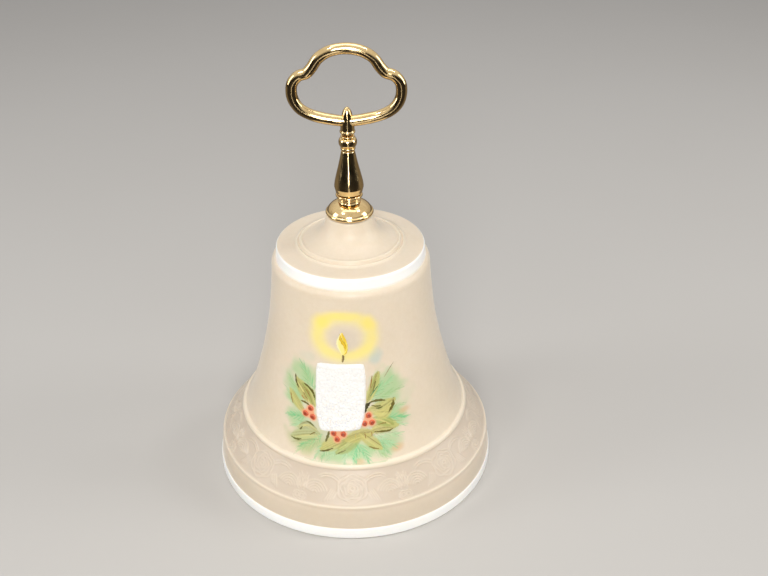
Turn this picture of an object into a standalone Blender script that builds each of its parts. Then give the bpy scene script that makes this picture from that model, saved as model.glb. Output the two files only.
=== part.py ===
"""Hand bell of frosted glass with a gilt loop handle and a ball clapper on a chain.

Metres, +Z up. The origin is the centre of the rim's plane, the loop lies in the XZ plane, and the
decorated front of the glass faces -Y.
"""

import math

import bpy
from mathutils import Vector

GAP = 0.0003

RIM_RADIUS = 0.0530
RIM_BAND_TOP = 0.0044
LOWER_RING = (0.0511, 0.0132)
UPPER_RING = (0.0424, 0.0244)
RING_PROUD = 0.0006
WALL = 0.0040
SHOULDER_RADIUS = 0.0284
SHOULDER_Z = 0.0849
BAND_RADIUS = 0.0267
BAND_BOTTOM = 0.0881
CROWN_EDGE_Z = 0.0925
NECK_RADIUS = 0.0083
NECK_TOP = 0.1038
SEAT_RADIUS = 0.0075
SEAT_Z = 0.0955
ROD_HOLE_RADIUS = 0.0028

LOOP_BAR_RADIUS = 0.0019
LOOP_TOP = 0.1634
LOOP_BOTTOM = 0.1384
LUG_BASE = 0.1352
SPIGOT_BOTTOM = 0.1316
BEAD_TOP = 0.1334
BEAD_BOTTOM = 0.1282
BALUSTER_TOP = 0.1279
BALUSTER_BOTTOM = 0.1121
COLLAR_BOTTOM = 0.1089
FOOT_TOP = 0.1086
FOOT_BOTTOM = NECK_TOP + GAP

ROD_RADIUS = 0.0012
BORE_RADIUS = ROD_RADIUS + GAP
ROD_TOP = SPIGOT_BOTTOM - 0.0004
ROD_BOTTOM = 0.0875
GASKET_SEAT = 0.1059
CROWN_GASKET_TOP = 0.1056
CROWN_GASKET_RADIUS = 0.0070
SLEEVE_BOTTOM = 0.1000
INNER_GASKET_THICKNESS = 0.0013
INNER_GASKET_RADIUS = 0.0066
WASHER_THICKNESS = 0.0010
WASHER_RADIUS = 0.0060
NUT_HEIGHT = 0.0023
NUT_ACROSS_FLATS = 0.0055

WIRE_RADIUS = 0.0006
EYE_RADIUS = 0.0020
EYE_WIRE_Z = 0.0800
LINK_END_RADIUS = 0.0017
LINK_PITCH = 0.0070
LINK_DROP = LINK_END_RADIUS - 2 * WIRE_RADIUS - GAP
LINKS = 6

BALL_RADIUS = 0.0075
BALL_Z = 0.0230
BALL_BOSS_RADIUS = 0.0020
SOCKET_DEPTH = 0.0045

WAIST_POINTS = 2
BELL_STEPS = 48
TURNED_STEPS = 28


def clear_scene():
    for obj in list(bpy.data.objects):
        bpy.data.objects.remove(obj, do_unlink=True)


def new_collection(name):
    collection = bpy.data.collections.new(name)
    bpy.context.scene.collection.children.link(collection)
    return collection


def principled(name, colour, roughness, metallic):
    material = bpy.data.materials.new(name)
    material.use_nodes = True
    shader = material.node_tree.nodes["Principled BSDF"]
    shader.inputs["Base Color"].default_value = (*colour, 1.0)
    shader.inputs["Roughness"].default_value = roughness
    shader.inputs["Metallic"].default_value = metallic
    material.diffuse_color = (*colour, 1.0)
    return material


def mirrored(point):
    return (-point[0], point[1])


def arc(centre, radius, start, end, count):
    """Points on an arc of the (r, z) plane, from one angle in degrees to another."""
    angles = [math.radians(start + (end - start) * i / (count - 1)) for i in range(count)]
    return [(centre[0] + radius * math.cos(a), centre[1] + radius * math.sin(a)) for a in angles]


def smooth_line(points, per_span, closed=False):
    """Points of a Catmull-Rom curve through the given (a, b) points."""
    count = len(points)
    spans = count if closed else count - 1
    found = []
    for i in range(spans):
        if closed:
            four = [points[(i + k) % count] for k in (-1, 0, 1, 2)]
        else:
            four = [points[min(max(i + k, 0), count - 1)] for k in (-1, 0, 1, 2)]
        p0, p1, p2, p3 = (Vector(p) for p in four)
        for step in range(per_span):
            t = step / per_span
            start = 2 * p1 + (p2 - p0) * t
            bend = (2 * p0 - 5 * p1 + 4 * p2 - p3) * t * t
            twist = (3 * p1 - p0 - 3 * p2 + p3) * t * t * t
            found.append(tuple((start + bend + twist) / 2))
    return found if closed else found + [tuple(points[-1])]


def bead(centre, out, proud, half_width, count=3):
    """A half-round bead standing proud of a turned surface, from its upper to its lower foot."""
    out = Vector(out).normalized()
    down = Vector((out[1], -out[0]))
    points = []
    for i in range(count):
        turn = math.pi * (i / (count - 1) - 0.5)
        lift = proud * math.cos(turn)
        points.append(tuple(Vector(centre) + out * lift + down * half_width * math.sin(turn)))
    return points


def offset_inward(points, distance):
    """Each point moved square to the line, towards the axis, for a line that runs down and out."""
    moved = []
    for i, point in enumerate(points):
        before = Vector(points[max(i - 1, 0)])
        after = Vector(points[min(i + 1, len(points) - 1)])
        along = (after - before).normalized()
        moved.append((point[0] + along[1] * distance, point[1] - along[0] * distance))
    return moved


def link_object(name, data, collection, material):
    obj = bpy.data.objects.new(name, data)
    collection.objects.link(obj)
    if material:
        obj.data.materials.append(material)
    return obj


def turned(name, profile, collection, material, steps=TURNED_STEPS, ring=False):
    """A turned solid. The profile runs down its outer side; ring closes it round a bore."""
    mesh = bpy.data.meshes.new(name)
    edges = [(i, i + 1) for i in range(len(profile) - 1)]
    if ring:
        edges.append((len(profile) - 1, 0))
    mesh.from_pydata([(r, 0.0, z) for r, z in profile], edges, [])
    obj = link_object(name, mesh, collection, material)
    screw = obj.modifiers.new("turn", "SCREW")
    screw.axis = "Z"
    screw.angle = 2 * math.pi
    screw.steps = steps
    screw.render_steps = steps
    screw.use_merge_vertices = True
    screw.merge_threshold = 0.00001
    screw.use_smooth_shade = True
    return obj


def wire_mesh(name, points, radius, resolution):
    """The mesh of a closed round bar along a loop of (x, z) points in the XZ plane."""
    curve = bpy.data.curves.new(name, "CURVE")
    curve.dimensions = "3D"
    curve.bevel_depth = radius
    curve.bevel_resolution = resolution
    curve.use_fill_caps = True
    spline = curve.splines.new("POLY")
    spline.points.add(len(points) - 1)
    for spot, (x, z) in zip(spline.points, points):
        spot.co = (x, 0.0, z, 1.0)
    spline.use_cyclic_u = True
    spline.use_smooth = True
    obj = bpy.data.objects.new(name, curve)
    bpy.context.scene.collection.objects.link(obj)
    bpy.context.view_layer.update()
    graph = bpy.context.evaluated_depsgraph_get()
    mesh = bpy.data.meshes.new_from_object(obj.evaluated_get(graph))
    mesh.name = name
    bpy.data.objects.remove(obj, do_unlink=True)
    bpy.data.curves.remove(curve)
    mesh.shade_smooth()
    return mesh


def add_boolean(obj, other, operation):
    other.hide_render = True
    other.display_type = "WIRE"
    modifier = obj.modifiers.new(operation.lower(), "BOOLEAN")
    modifier.operation = operation
    modifier.object = other
    modifier.solver = "EXACT"


def glass_outer():
    """The bell's outside, from the neck's top down to the rim's foot."""
    neck = smooth_line(
        [(NECK_RADIUS, NECK_TOP), (0.0088, 0.1012), (0.0101, 0.0981), (0.0124, 0.0959), (0.0163, 0.0943)], 2
    )
    inner_ridge = bead((0.0175, 0.0941), (0.1, 1.0), 0.0005, 0.0005)
    outer_ridge = bead((0.0189, 0.0934), (0.1, 1.0), 0.0005, 0.0005)
    crown_edge = arc((BAND_RADIUS - 0.0008, CROWN_EDGE_Z - 0.0005), 0.0006, 80, 0, 3)
    shoulder = arc((SHOULDER_RADIUS - 0.0023, SHOULDER_Z), 0.0023, 62, 0, 4)
    return neck + inner_ridge + outer_ridge + crown_edge + [(BAND_RADIUS, BAND_BOTTOM)] + shoulder


def glass_waist():
    """The long hollow flank between the shoulder and the upper ring."""
    return smooth_line(
        [
            (0.0288, 0.0798),
            (0.0308, 0.0627),
            (0.0332, 0.0512),
            (0.0361, 0.0404),
            (0.0393, 0.0308),
            (0.0414, 0.0262),
        ],
        WAIST_POINTS,
    )


def glass_inner():
    """The bell's inside, from the rim up to the bore, one wall's thickness in from the outside."""
    skirt = [UPPER_RING, LOWER_RING, (0.0522, 0.0088), (0.0526, 0.0)]
    flank = [(SHOULDER_RADIUS, SHOULDER_Z)] + glass_waist()[::WAIST_POINTS] + skirt
    inside = offset_inward(flank, WALL)
    crown = [(SEAT_RADIUS, SEAT_Z), (0.0130, 0.0917), (0.0188, 0.0893), (0.0224, 0.0876)]
    return [(r, max(z, 0.0)) for r, z in reversed(inside)] + crown[::-1]


def build_glass(collection, material):
    cone = Vector(LOWER_RING) - Vector(UPPER_RING)
    square = (-cone[1], cone[0])
    skirt = bead(UPPER_RING, square, RING_PROUD, 0.0009) + bead(LOWER_RING, square, RING_PROUD, 0.0006)
    rim = [(0.0521, 0.0090), (0.0524, RIM_BAND_TOP), (RIM_RADIUS - 0.0003, RIM_BAND_TOP - 0.0003)]
    foot = [(RIM_RADIUS, 0.0006), (RIM_RADIUS - 0.0006, 0.0)]
    bore = [(ROD_HOLE_RADIUS, SEAT_Z), (ROD_HOLE_RADIUS, NECK_TOP)]
    profile = glass_outer() + glass_waist() + skirt + rim + foot + glass_inner() + bore
    return turned("glass_bell", profile, collection, material, BELL_STEPS, ring=True)


def loop_outline():
    """The cloud-shaped loop's centreline: an arch, a notch and a round lobe on each side."""
    half = [
        (0.0052, 0.1625),
        (0.0090, 0.1600),
        (0.0112, 0.1569),
        (0.0129, 0.1551),
        (0.0156, 0.1541),
        (0.0176, 0.1518),
        (0.0181, 0.1487),
        (0.0174, 0.1455),
        (0.0154, 0.1427),
        (0.0117, 0.1406),
        (0.0060, 0.1391),
    ]
    ring = [(0.0, LOOP_TOP)] + half + [(0.0, LOOP_BOTTOM)] + [mirrored(point) for point in reversed(half)]
    return smooth_line(ring, 2, closed=True)


def build_loop_handle(collection, helpers, material):
    bar = wire_mesh("loop_handle", loop_outline(), LOOP_BAR_RADIUS, 3)
    loop = link_object("loop_handle", bar, collection, material)
    point = [(0.0, 0.1434), (0.0009, 0.1430), (0.0015, 0.1418), (0.0020, 0.1395), (0.0023, 0.1370)]
    base = [(0.0025, LUG_BASE), (0.0026, LUG_BASE - 0.0006), (0.0020, LUG_BASE - 0.0010)]
    shelf = BEAD_TOP + GAP
    spigot = [(0.0019, shelf), (ROD_RADIUS, shelf), (ROD_RADIUS, SPIGOT_BOTTOM), (0.0, SPIGOT_BOTTOM)]
    lug = turned("lug_shape", point + base + spigot, helpers, None, 24)
    add_boolean(loop, lug, "UNION")
    return loop


def bored(name, outside, collection, material):
    """A turned piece with the rod's bore right through it."""
    top = outside[0][1]
    bottom = outside[-1][1]
    profile = outside + [(BORE_RADIUS, bottom), (BORE_RADIUS, top)]
    return turned(name, profile, collection, material, ring=True)


def build_neck_bead(collection, material):
    round_part = arc((0.0006, 0.1310), 0.0025, 65, -65, 7)
    outside = [(0.0019, BEAD_TOP)] + round_part + [(0.0024, 0.1287), (0.0023, BEAD_BOTTOM)]
    return bored("neck_bead", outside, collection, material)


def build_baluster(collection, material):
    outside = smooth_line(
        [
            (0.0023, BALUSTER_TOP),
            (0.0030, 0.1245),
            (0.0039, 0.1207),
            (0.0048, 0.1168),
            (0.0051, 0.1145),
            (0.0047, 0.1129),
            (0.0040, BALUSTER_BOTTOM),
        ],
        2,
    )
    return bored("handle_baluster", outside, collection, material)


def build_collar(collection, material):
    lip = [(0.0041, BALUSTER_BOTTOM - GAP), (0.0047, 0.1114), (0.0046, 0.1110), (0.0039, 0.1107)]
    groove = [(0.0037, 0.1103), (0.0040, 0.1100), (0.0040, 0.1097), (0.0037, 0.1094), (0.0039, COLLAR_BOTTOM)]
    return bored("ring_collar", lip + groove, collection, material)


def build_foot(collection, material):
    dome = smooth_line([(0.0037, FOOT_TOP), (0.0050, 0.1082), (0.0068, 0.1070), (0.0080, 0.1055)], 2)
    edge = arc((0.0078, 0.1048), 0.0006, 20, -80, 4)
    recess = [(0.0076, FOOT_BOTTOM), (0.0074, GASKET_SEAT), (BORE_RADIUS, GASKET_SEAT)]
    bore = [(BORE_RADIUS, FOOT_TOP)]
    return turned("foot_flange", dome + edge + recess + bore, collection, material, ring=True)


def build_rod(collection, material):
    profile = [(0.0, ROD_TOP), (ROD_RADIUS, ROD_TOP), (ROD_RADIUS, ROD_BOTTOM), (0.0, ROD_BOTTOM)]
    return turned("tie_rod", profile, collection, material, 16)


def build_crown_gasket(collection, material):
    top = CROWN_GASKET_TOP
    sleeve = ROD_HOLE_RADIUS - GAP
    flange = [(CROWN_GASKET_RADIUS, top), (CROWN_GASKET_RADIUS, FOOT_BOTTOM), (sleeve, FOOT_BOTTOM)]
    bush = [(sleeve, SLEEVE_BOTTOM), (BORE_RADIUS, SLEEVE_BOTTOM), (BORE_RADIUS, top)]
    return turned("crown_gasket", flange + bush, collection, material, ring=True)


def washer(name, top, thickness, radius, collection, material):
    return bored(name, [(radius, top), (radius, top - thickness)], collection, material)


def build_nut(top, collection, helpers, material):
    centre = (0, 0, top - NUT_HEIGHT / 2)
    corner_radius = NUT_ACROSS_FLATS / math.sqrt(3)
    bpy.ops.mesh.primitive_cylinder_add(vertices=6, radius=corner_radius, depth=NUT_HEIGHT, location=centre)
    nut = bpy.context.object
    nut.name = "lock_nut"
    nut.data.materials.append(material)
    move_to(nut, collection)
    bpy.ops.mesh.primitive_cylinder_add(vertices=24, radius=BORE_RADIUS, depth=2 * NUT_HEIGHT, location=centre)
    cutter = bpy.context.object
    cutter.name = "nut_bore"
    move_to(cutter, helpers)
    add_boolean(nut, cutter, "DIFFERENCE")
    return nut


def move_to(obj, collection):
    for owner in list(obj.users_collection):
        owner.objects.unlink(obj)
    collection.objects.link(obj)


def circle_points(radius, z, count):
    angles = [2 * math.pi * i / count for i in range(count)]
    return [(radius * math.sin(a), z + radius * math.cos(a)) for a in angles]


def build_hanger(top, collection, helpers, material):
    ferrule_bottom = EYE_WIRE_Z + 2 * EYE_RADIUS
    ring = wire_mesh("hanger_eye", circle_points(EYE_RADIUS, EYE_WIRE_Z + EYE_RADIUS, 20), WIRE_RADIUS, 2)
    eye = link_object("hanger_eye", ring, collection, material)
    tip = ferrule_bottom - 0.0004
    outside = [(0.0018, top), (0.0021, top - 0.0003), (0.0021, tip + 0.0010), (0.0013, tip), (0.0, tip)]
    socket = [(BORE_RADIUS, ROD_BOTTOM - GAP), (BORE_RADIUS, top)]
    ferrule = turned("ferrule_shape", profile_with_socket(outside, socket), helpers, None, 24)
    add_boolean(eye, ferrule, "UNION")
    return eye


def profile_with_socket(outside, socket):
    """A turned outside that opens at the top into a blind socket."""
    depth = socket[0][1]
    return [(0.0, depth)] + socket + outside


def link_outline():
    straight = LINK_PITCH - LINK_END_RADIUS - LINK_DROP
    top = arc((0.0, -LINK_DROP), LINK_END_RADIUS, 0, 180, 8)
    bottom = arc((0.0, -LINK_DROP - straight), LINK_END_RADIUS, 180, 360, 8)
    return top + bottom


def build_chain(collection, material):
    """Links hang one from the next, each turned a quarter, with its origin on its hinge."""
    mesh = wire_mesh("chain_link", link_outline(), WIRE_RADIUS, 2)
    mesh.materials.append(material)
    above = None
    for number in range(1, LINKS + 1):
        link = link_object(f"chain_link_{number}", mesh, collection, None)
        link.rotation_euler = (0.0, 0.0, math.pi / 2)
        link.location = (0.0, 0.0, -LINK_PITCH) if above else (0.0, 0.0, EYE_WIRE_Z)
        link.parent = above
        above = link
    return above


def build_clapper(last_link, collection, helpers, material):
    hinge_z = EYE_WIRE_Z - LINKS * LINK_PITCH
    ball_z = BALL_Z - hinge_z
    boss_top = ball_z + BALL_RADIUS + 0.0010
    shank_top = -LINK_DROP - LINK_END_RADIUS
    shank_bottom = boss_top - SOCKET_DEPTH

    ring = wire_mesh("clapper_hook", circle_points(LINK_END_RADIUS, -LINK_DROP, 20), WIRE_RADIUS, 2)
    hook = link_object("clapper_hook", ring, collection, material)
    rod = [(0.0, shank_top), (WIRE_RADIUS, shank_top), (WIRE_RADIUS, shank_bottom), (0.0, shank_bottom)]
    shank = turned("shank_shape", rod, helpers, None, 12)
    shank.parent = hook
    add_boolean(hook, shank, "UNION")

    socket = WIRE_RADIUS + GAP
    boss_angle = math.degrees(math.acos(BALL_BOSS_RADIUS / BALL_RADIUS))
    inside = [(0.0, shank_bottom - GAP), (socket, shank_bottom - GAP), (socket, boss_top)]
    boss = [(BALL_BOSS_RADIUS - 0.0003, boss_top), (BALL_BOSS_RADIUS, boss_top - 0.0003)]
    ball_line = arc((0.0, ball_z), BALL_RADIUS, boss_angle, -90, 11)[:-1] + [(0.0, ball_z - BALL_RADIUS)]
    ball = turned("clapper_ball", inside + boss + ball_line, collection, material, 28)
    for piece in (hook, ball):
        piece.parent = last_link
        piece.location = (0.0, 0.0, -LINK_PITCH)
        piece.rotation_euler = (0.0, 0.0, math.pi / 2)


def build():
    clear_scene()
    bell = new_collection("glass_hand_bell")
    helpers = new_collection("cutters")
    helpers.hide_render = True
    glass = principled("cream_glass", (0.76, 0.64, 0.49), 0.35, 0.0)
    gilt = principled("gilt_metal", (0.80, 0.58, 0.25), 0.12, 1.0)
    soft = principled("soft_washer", (0.78, 0.76, 0.72), 0.6, 0.0)
    steel = principled("plated_steel", (0.62, 0.61, 0.58), 0.3, 1.0)
    chain = principled("gilt_wire", (0.72, 0.55, 0.27), 0.25, 1.0)

    build_glass(bell, glass)
    build_loop_handle(bell, helpers, gilt)
    build_neck_bead(bell, gilt)
    build_baluster(bell, gilt)
    build_collar(bell, gilt)
    build_foot(bell, gilt)
    build_rod(bell, steel)
    build_crown_gasket(bell, soft)

    gasket_top = SEAT_Z - GAP
    washer_top = gasket_top - INNER_GASKET_THICKNESS - GAP
    nut_top = washer_top - WASHER_THICKNESS - GAP
    washer("inner_gasket", gasket_top, INNER_GASKET_THICKNESS, INNER_GASKET_RADIUS, bell, soft)
    washer("inner_washer", washer_top, WASHER_THICKNESS, WASHER_RADIUS, bell, steel)
    build_nut(nut_top, bell, helpers, steel)
    build_hanger(nut_top - NUT_HEIGHT - GAP, bell, helpers, chain)
    last_link = build_chain(bell, chain)
    build_clapper(last_link, bell, helpers, chain)


build()
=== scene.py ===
"""Looks of the glass hand bell: satin cream glass with a painted candle, and a gilt loop handle.

Metres, in the frame of the CAD model: +Z up, the painted front faces -Y, the rim stands on z = 0.
Outlines are written in millimetres as (radius, height) and scaled when a mesh is made.
"""

import math

import bmesh
import bpy
import numpy as np
from mathutils import Matrix, Vector


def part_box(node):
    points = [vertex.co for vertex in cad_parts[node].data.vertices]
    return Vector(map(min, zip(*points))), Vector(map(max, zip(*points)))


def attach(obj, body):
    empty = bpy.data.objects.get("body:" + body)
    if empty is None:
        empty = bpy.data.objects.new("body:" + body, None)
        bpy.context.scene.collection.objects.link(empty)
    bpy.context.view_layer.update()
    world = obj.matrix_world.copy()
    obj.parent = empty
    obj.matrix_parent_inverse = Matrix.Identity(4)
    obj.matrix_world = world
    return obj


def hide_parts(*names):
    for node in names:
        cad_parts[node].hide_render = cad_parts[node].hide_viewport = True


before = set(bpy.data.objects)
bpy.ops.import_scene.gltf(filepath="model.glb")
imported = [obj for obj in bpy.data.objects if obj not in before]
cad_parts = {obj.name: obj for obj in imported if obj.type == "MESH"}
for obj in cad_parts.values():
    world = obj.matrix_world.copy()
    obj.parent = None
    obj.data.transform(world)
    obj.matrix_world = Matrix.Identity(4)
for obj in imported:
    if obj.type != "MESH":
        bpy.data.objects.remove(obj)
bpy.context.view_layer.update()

MM = 0.001
TAU = 2 * math.pi
RIM_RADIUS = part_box("glass_bell")[1].x
NECK_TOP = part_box("glass_bell")[1].z / MM
SEAT_Z = 95.5


# ---------------------------------------------------------------- outlines

def smooth_points(points, spacing, closed=False):
    """Points about evenly spaced along a centripetal Catmull-Rom curve through the given points."""
    pts = np.array(points, float)
    count = len(pts)
    if closed:
        ring = np.vstack([pts[-1], pts, pts[0], pts[1]])
        spans = count
    else:
        ring = np.vstack([2 * pts[0] - pts[1], pts, 2 * pts[-1] - pts[-2]])
        spans = count - 1
    fine = []
    for i in range(spans):
        p = ring[i:i + 4]
        gaps = np.sqrt(np.maximum(np.linalg.norm(np.diff(p, axis=0), axis=1), 1e-9))
        t0, t1, t2, t3 = np.concatenate([[0.0], np.cumsum(gaps)])
        t = np.linspace(t1, t2, 24, endpoint=False)[:, None]
        a1 = (t1 - t) / (t1 - t0) * p[0] + (t - t0) / (t1 - t0) * p[1]
        a2 = (t2 - t) / (t2 - t1) * p[1] + (t - t1) / (t2 - t1) * p[2]
        a3 = (t3 - t) / (t3 - t2) * p[2] + (t - t2) / (t3 - t2) * p[3]
        b1 = (t2 - t) / (t2 - t0) * a1 + (t - t0) / (t2 - t0) * a2
        b2 = (t3 - t) / (t3 - t1) * a2 + (t - t1) / (t3 - t1) * a3
        fine.append((t2 - t) / (t2 - t1) * b1 + (t - t1) / (t2 - t1) * b2)
    fine = np.vstack(fine + [pts[:1] if closed else pts[-1:]])
    return resampled(fine, spacing, closed)


def run_along(line):
    """The distance of each point from the line's start, measured along it."""
    return np.concatenate([[0.0], np.cumsum(np.linalg.norm(np.diff(line, axis=0), axis=1))])


def resampled(line, spacing, closed=False):
    run = run_along(line)
    count = max(2, int(round(run[-1] / spacing)) + 1)
    at = np.linspace(0.0, run[-1], count)
    if closed:
        at = at[:-1]
    return np.column_stack([np.interp(at, run, line[:, k]) for k in range(line.shape[1])])


def straight(points, spacing):
    return resampled(np.array(points, float), spacing)


def arc(centre, radius, start, end, count):
    turn = np.radians(np.linspace(start, end, count))
    return np.column_stack([centre[0] + radius * np.cos(turn), centre[1] + radius * np.sin(turn)])


def joined(*lines):
    """Several lines as one, with no doubled point where they meet."""
    whole = np.vstack([np.array(line, float) for line in lines])
    keep = np.concatenate([[True], np.linalg.norm(np.diff(whole, axis=0), axis=1) > 1e-4])
    return whole[keep]


def smoothstep(low, high, value):
    t = np.clip((value - low) / (high - low), 0.0, 1.0)
    return t * t * (3 - 2 * t)


# ---------------------------------------------------------------- meshes

def make_object(name, verts, faces, material):
    mesh = bpy.data.meshes.new(name)
    mesh.from_pydata([tuple(v) for v in verts], [], faces)
    mesh.validate()
    mesh.shade_smooth()
    obj = bpy.data.objects.new(name, mesh)
    bpy.context.scene.collection.objects.link(obj)
    obj.data.materials.append(material)
    return obj


def finish_piece(obj, body, replaced=()):
    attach(obj, body)
    if replaced:
        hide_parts(*replaced)
    return obj


def grid_faces(rows, columns, base=0):
    """Quads between successive rings of vertices, facing out where the rings run downwards."""
    faces = []
    for i in range(rows - 1):
        upper = base + i * columns
        lower = upper + columns
        for j in range(columns):
            k = (j + 1) % columns
            faces.append((upper + j, lower + j, lower + k, upper + k))
    return faces


def closing_faces(rows, columns):
    """Quads that join the last row of a grid to its first."""
    last = (rows - 1) * columns
    return [(last + j, j, (j + 1) % columns, last + (j + 1) % columns) for j in range(columns)]


def disc_faces(rings, columns):
    """Quads between rings that shrink inwards, and one face that fills the last ring."""
    faces = [tuple(reversed(face)) for face in grid_faces(rings, columns)]
    faces.append(tuple((rings - 1) * columns + j for j in range(columns)))
    return faces


def sheet_faces(rows, columns):
    """The faces of an open grid of points, and one more that closes its back."""
    faces = []
    for i in range(rows - 1):
        for j in range(columns - 1):
            a = i * columns + j
            faces.append((a, a + 1, a + columns + 1, a + columns))
    rim = list(range(columns)) + [i * columns + columns - 1 for i in range(1, rows)]
    rim += [(rows - 1) * columns + j for j in range(columns - 2, -1, -1)]
    rim += [i * columns for i in range(rows - 2, 0, -1)]
    faces.append(tuple(rim[::-1]))
    return faces


def stitch(upper, upper_angles, lower, lower_angles):
    """Triangles between two rings that have different numbers of vertices."""
    faces = []
    i = j = 0
    while i < len(upper) or j < len(lower):
        next_up = upper_angles[i + 1] if i + 1 < len(upper) else TAU + upper_angles[0]
        next_low = lower_angles[j + 1] if j + 1 < len(lower) else TAU + lower_angles[0]
        a = upper[i % len(upper)]
        b = lower[j % len(lower)]
        if j >= len(lower) or (i < len(upper) and next_up <= next_low):
            faces.append((a, b, upper[(i + 1) % len(upper)]))
            i += 1
        else:
            faces.append((a, b, lower[(j + 1) % len(lower)]))
            j += 1
    return faces


def round_angles(count):
    return np.arange(count) * TAU / count


def ring_positions(profile, angles):
    """Vertex positions in metres of a turned line: angle 0 is the front, and grows towards +X."""
    r = profile[:, 0][:, None] * MM
    z = np.repeat(profile[:, 1][:, None] * MM, len(angles), axis=1)
    return np.stack([r * np.sin(angles)[None, :], -r * np.cos(angles)[None, :], z], axis=2)


def line_normals(profile):
    """Unit normals of a line that runs down its outer side, pointing out."""
    along = np.gradient(profile, axis=0)
    along /= np.linalg.norm(along, axis=1)[:, None]
    return np.column_stack([-along[:, 1], along[:, 0]])


def turned_mesh(name, profile, columns, material, relief=None):
    """A closed turned piece. The profile ends on the axis at both ends, or closes round a bore."""
    profile = np.array(profile, float)
    on_axis = profile[0, 0] < 1e-6 and profile[-1, 0] < 1e-6
    body = profile[1:-1] if on_axis else profile
    angles = round_angles(columns)
    verts = ring_positions(body, angles)
    if relief is not None:
        verts = verts + relief(body, angles)
    faces = grid_faces(len(body), columns)
    verts = verts.reshape(-1, 3)
    last = (len(body) - 1) * columns
    if on_axis:
        top = len(verts)
        ends = [(0.0, 0.0, profile[0, 1] * MM), (0.0, 0.0, profile[-1, 1] * MM)]
        verts = np.vstack([verts, ends])
        faces += [(top, j, (j + 1) % columns) for j in range(columns)]
        faces += [(top + 1, last + (j + 1) % columns, last + j) for j in range(columns)]
    else:
        faces += closing_faces(len(body), columns)
    obj = make_object(name, verts, faces, material)
    obj.data.set_sharp_from_angle(angle=math.radians(50))
    return obj


def pushed_out(change, angles):
    """Moves in metres, straight out from the axis, as vectors for each vertex of a turned line."""
    return np.stack([change * np.sin(angles), -change * np.cos(angles), 0 * change], axis=2)


def swept_mesh(name, path, radii, sides, material, frame_axis=(0.0, 1.0, 0.0)):
    """A round bar along a closed path of points in millimetres, with its own radius at each point."""
    path = np.array(path, float)
    radii = np.broadcast_to(np.array(radii, float), (len(path),))
    along = np.roll(path, -1, axis=0) - np.roll(path, 1, axis=0)
    along /= np.linalg.norm(along, axis=1)[:, None]
    across = np.cross(along, np.array(frame_axis, float))
    across /= np.linalg.norm(across, axis=1)[:, None]
    other = np.cross(across, along)
    turn = round_angles(sides)[None, :, None]
    ring = across[:, None, :] * np.cos(turn) + other[:, None, :] * np.sin(turn)
    verts = (path[:, None, :] + ring * radii[:, None, None]).reshape(-1, 3) * MM
    faces = grid_faces(len(path), sides) + closing_faces(len(path), sides)
    return make_object(name, verts, faces, material)


def facing_out(obj):
    """Turns every face outwards."""
    work = bmesh.new()
    work.from_mesh(obj.data)
    bmesh.ops.recalc_face_normals(work, faces=work.faces)
    work.to_mesh(obj.data)
    work.free()
    return obj


# ---------------------------------------------------------------- materials

def linear(colour):
    """An sRGB colour from 0 to 255 as linear values."""
    c = np.array(colour, float) / 255.0
    return np.where(c <= 0.04045, c / 12.92, ((c + 0.055) / 1.055) ** 2.4)


def new_material(name):
    material = bpy.data.materials.new(name)
    material.use_nodes = True
    tree = material.node_tree
    return material, tree, tree.nodes["Principled BSDF"]


def add_node(tree, kind, **values):
    node = tree.nodes.new(kind)
    for key, value in values.items():
        if hasattr(node, key):
            setattr(node, key, value)
        else:
            node.inputs[key.replace("_", " ")].default_value = value
    return node


def object_coords(tree):
    return add_node(tree, "ShaderNodeTexCoord").outputs["Object"]


def noise(tree, scale, detail=4.0, roughness=0.55):
    node = add_node(tree, "ShaderNodeTexNoise", Scale=scale, Detail=detail, Roughness=roughness)
    tree.links.new(object_coords(tree), node.inputs["Vector"])
    return node.outputs["Fac"]


def ranged(tree, value, low, high, to_low, to_high):
    node = add_node(tree, "ShaderNodeMapRange")
    tree.links.new(value, node.inputs["Value"])
    for key, number in (("From Min", low), ("From Max", high), ("To Min", to_low), ("To Max", to_high)):
        node.inputs[key].default_value = number
    return node.outputs["Result"]


def mixed(tree, factor, first, second, mode="MIX"):
    """A colour mix. Factor, first and second are sockets or values."""
    node = tree.nodes.new("ShaderNodeMix")
    node.data_type = "RGBA"
    node.blend_type = mode
    for socket, value in ((node.inputs[0], factor), (node.inputs[6], first), (node.inputs[7], second)):
        if isinstance(value, bpy.types.NodeSocket):
            tree.links.new(value, socket)
        elif isinstance(value, float):
            socket.default_value = value
        else:
            socket.default_value = (*value, 1.0)
    return node.outputs[2]


def scattered(tree, scale, low, high, to_low, to_high, detail=4.0, roughness=0.55):
    """Noise of one scale, with its values from low to high spread over a new range."""
    return ranged(tree, noise(tree, scale, detail, roughness), low, high, to_low, to_high)


def calculated(tree, operation, first, second):
    """A Math node. First is a socket, second is a socket or a value."""
    node = add_node(tree, "ShaderNodeMath", operation=operation)
    tree.links.new(first, node.inputs[0])
    if isinstance(second, bpy.types.NodeSocket):
        tree.links.new(second, node.inputs[1])
    else:
        node.inputs[1].default_value = second
    return node


def position(tree):
    """The point on the object, as separate X, Y and Z outputs."""
    node = tree.nodes.new("ShaderNodeSeparateXYZ")
    tree.links.new(object_coords(tree), node.inputs["Vector"])
    return node.outputs


def set_shader(shader, **values):
    """Sets the shader's own sockets. A name has _ for each space."""
    for key, value in values.items():
        shader.inputs[key.replace("_", " ")].default_value = value


def bump(tree, shader, height, strength, distance):
    node = add_node(tree, "ShaderNodeBump", Strength=strength, Distance=distance)
    tree.links.new(height, node.inputs["Height"])
    tree.links.new(node.outputs["Normal"], shader.inputs["Normal"])


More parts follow.
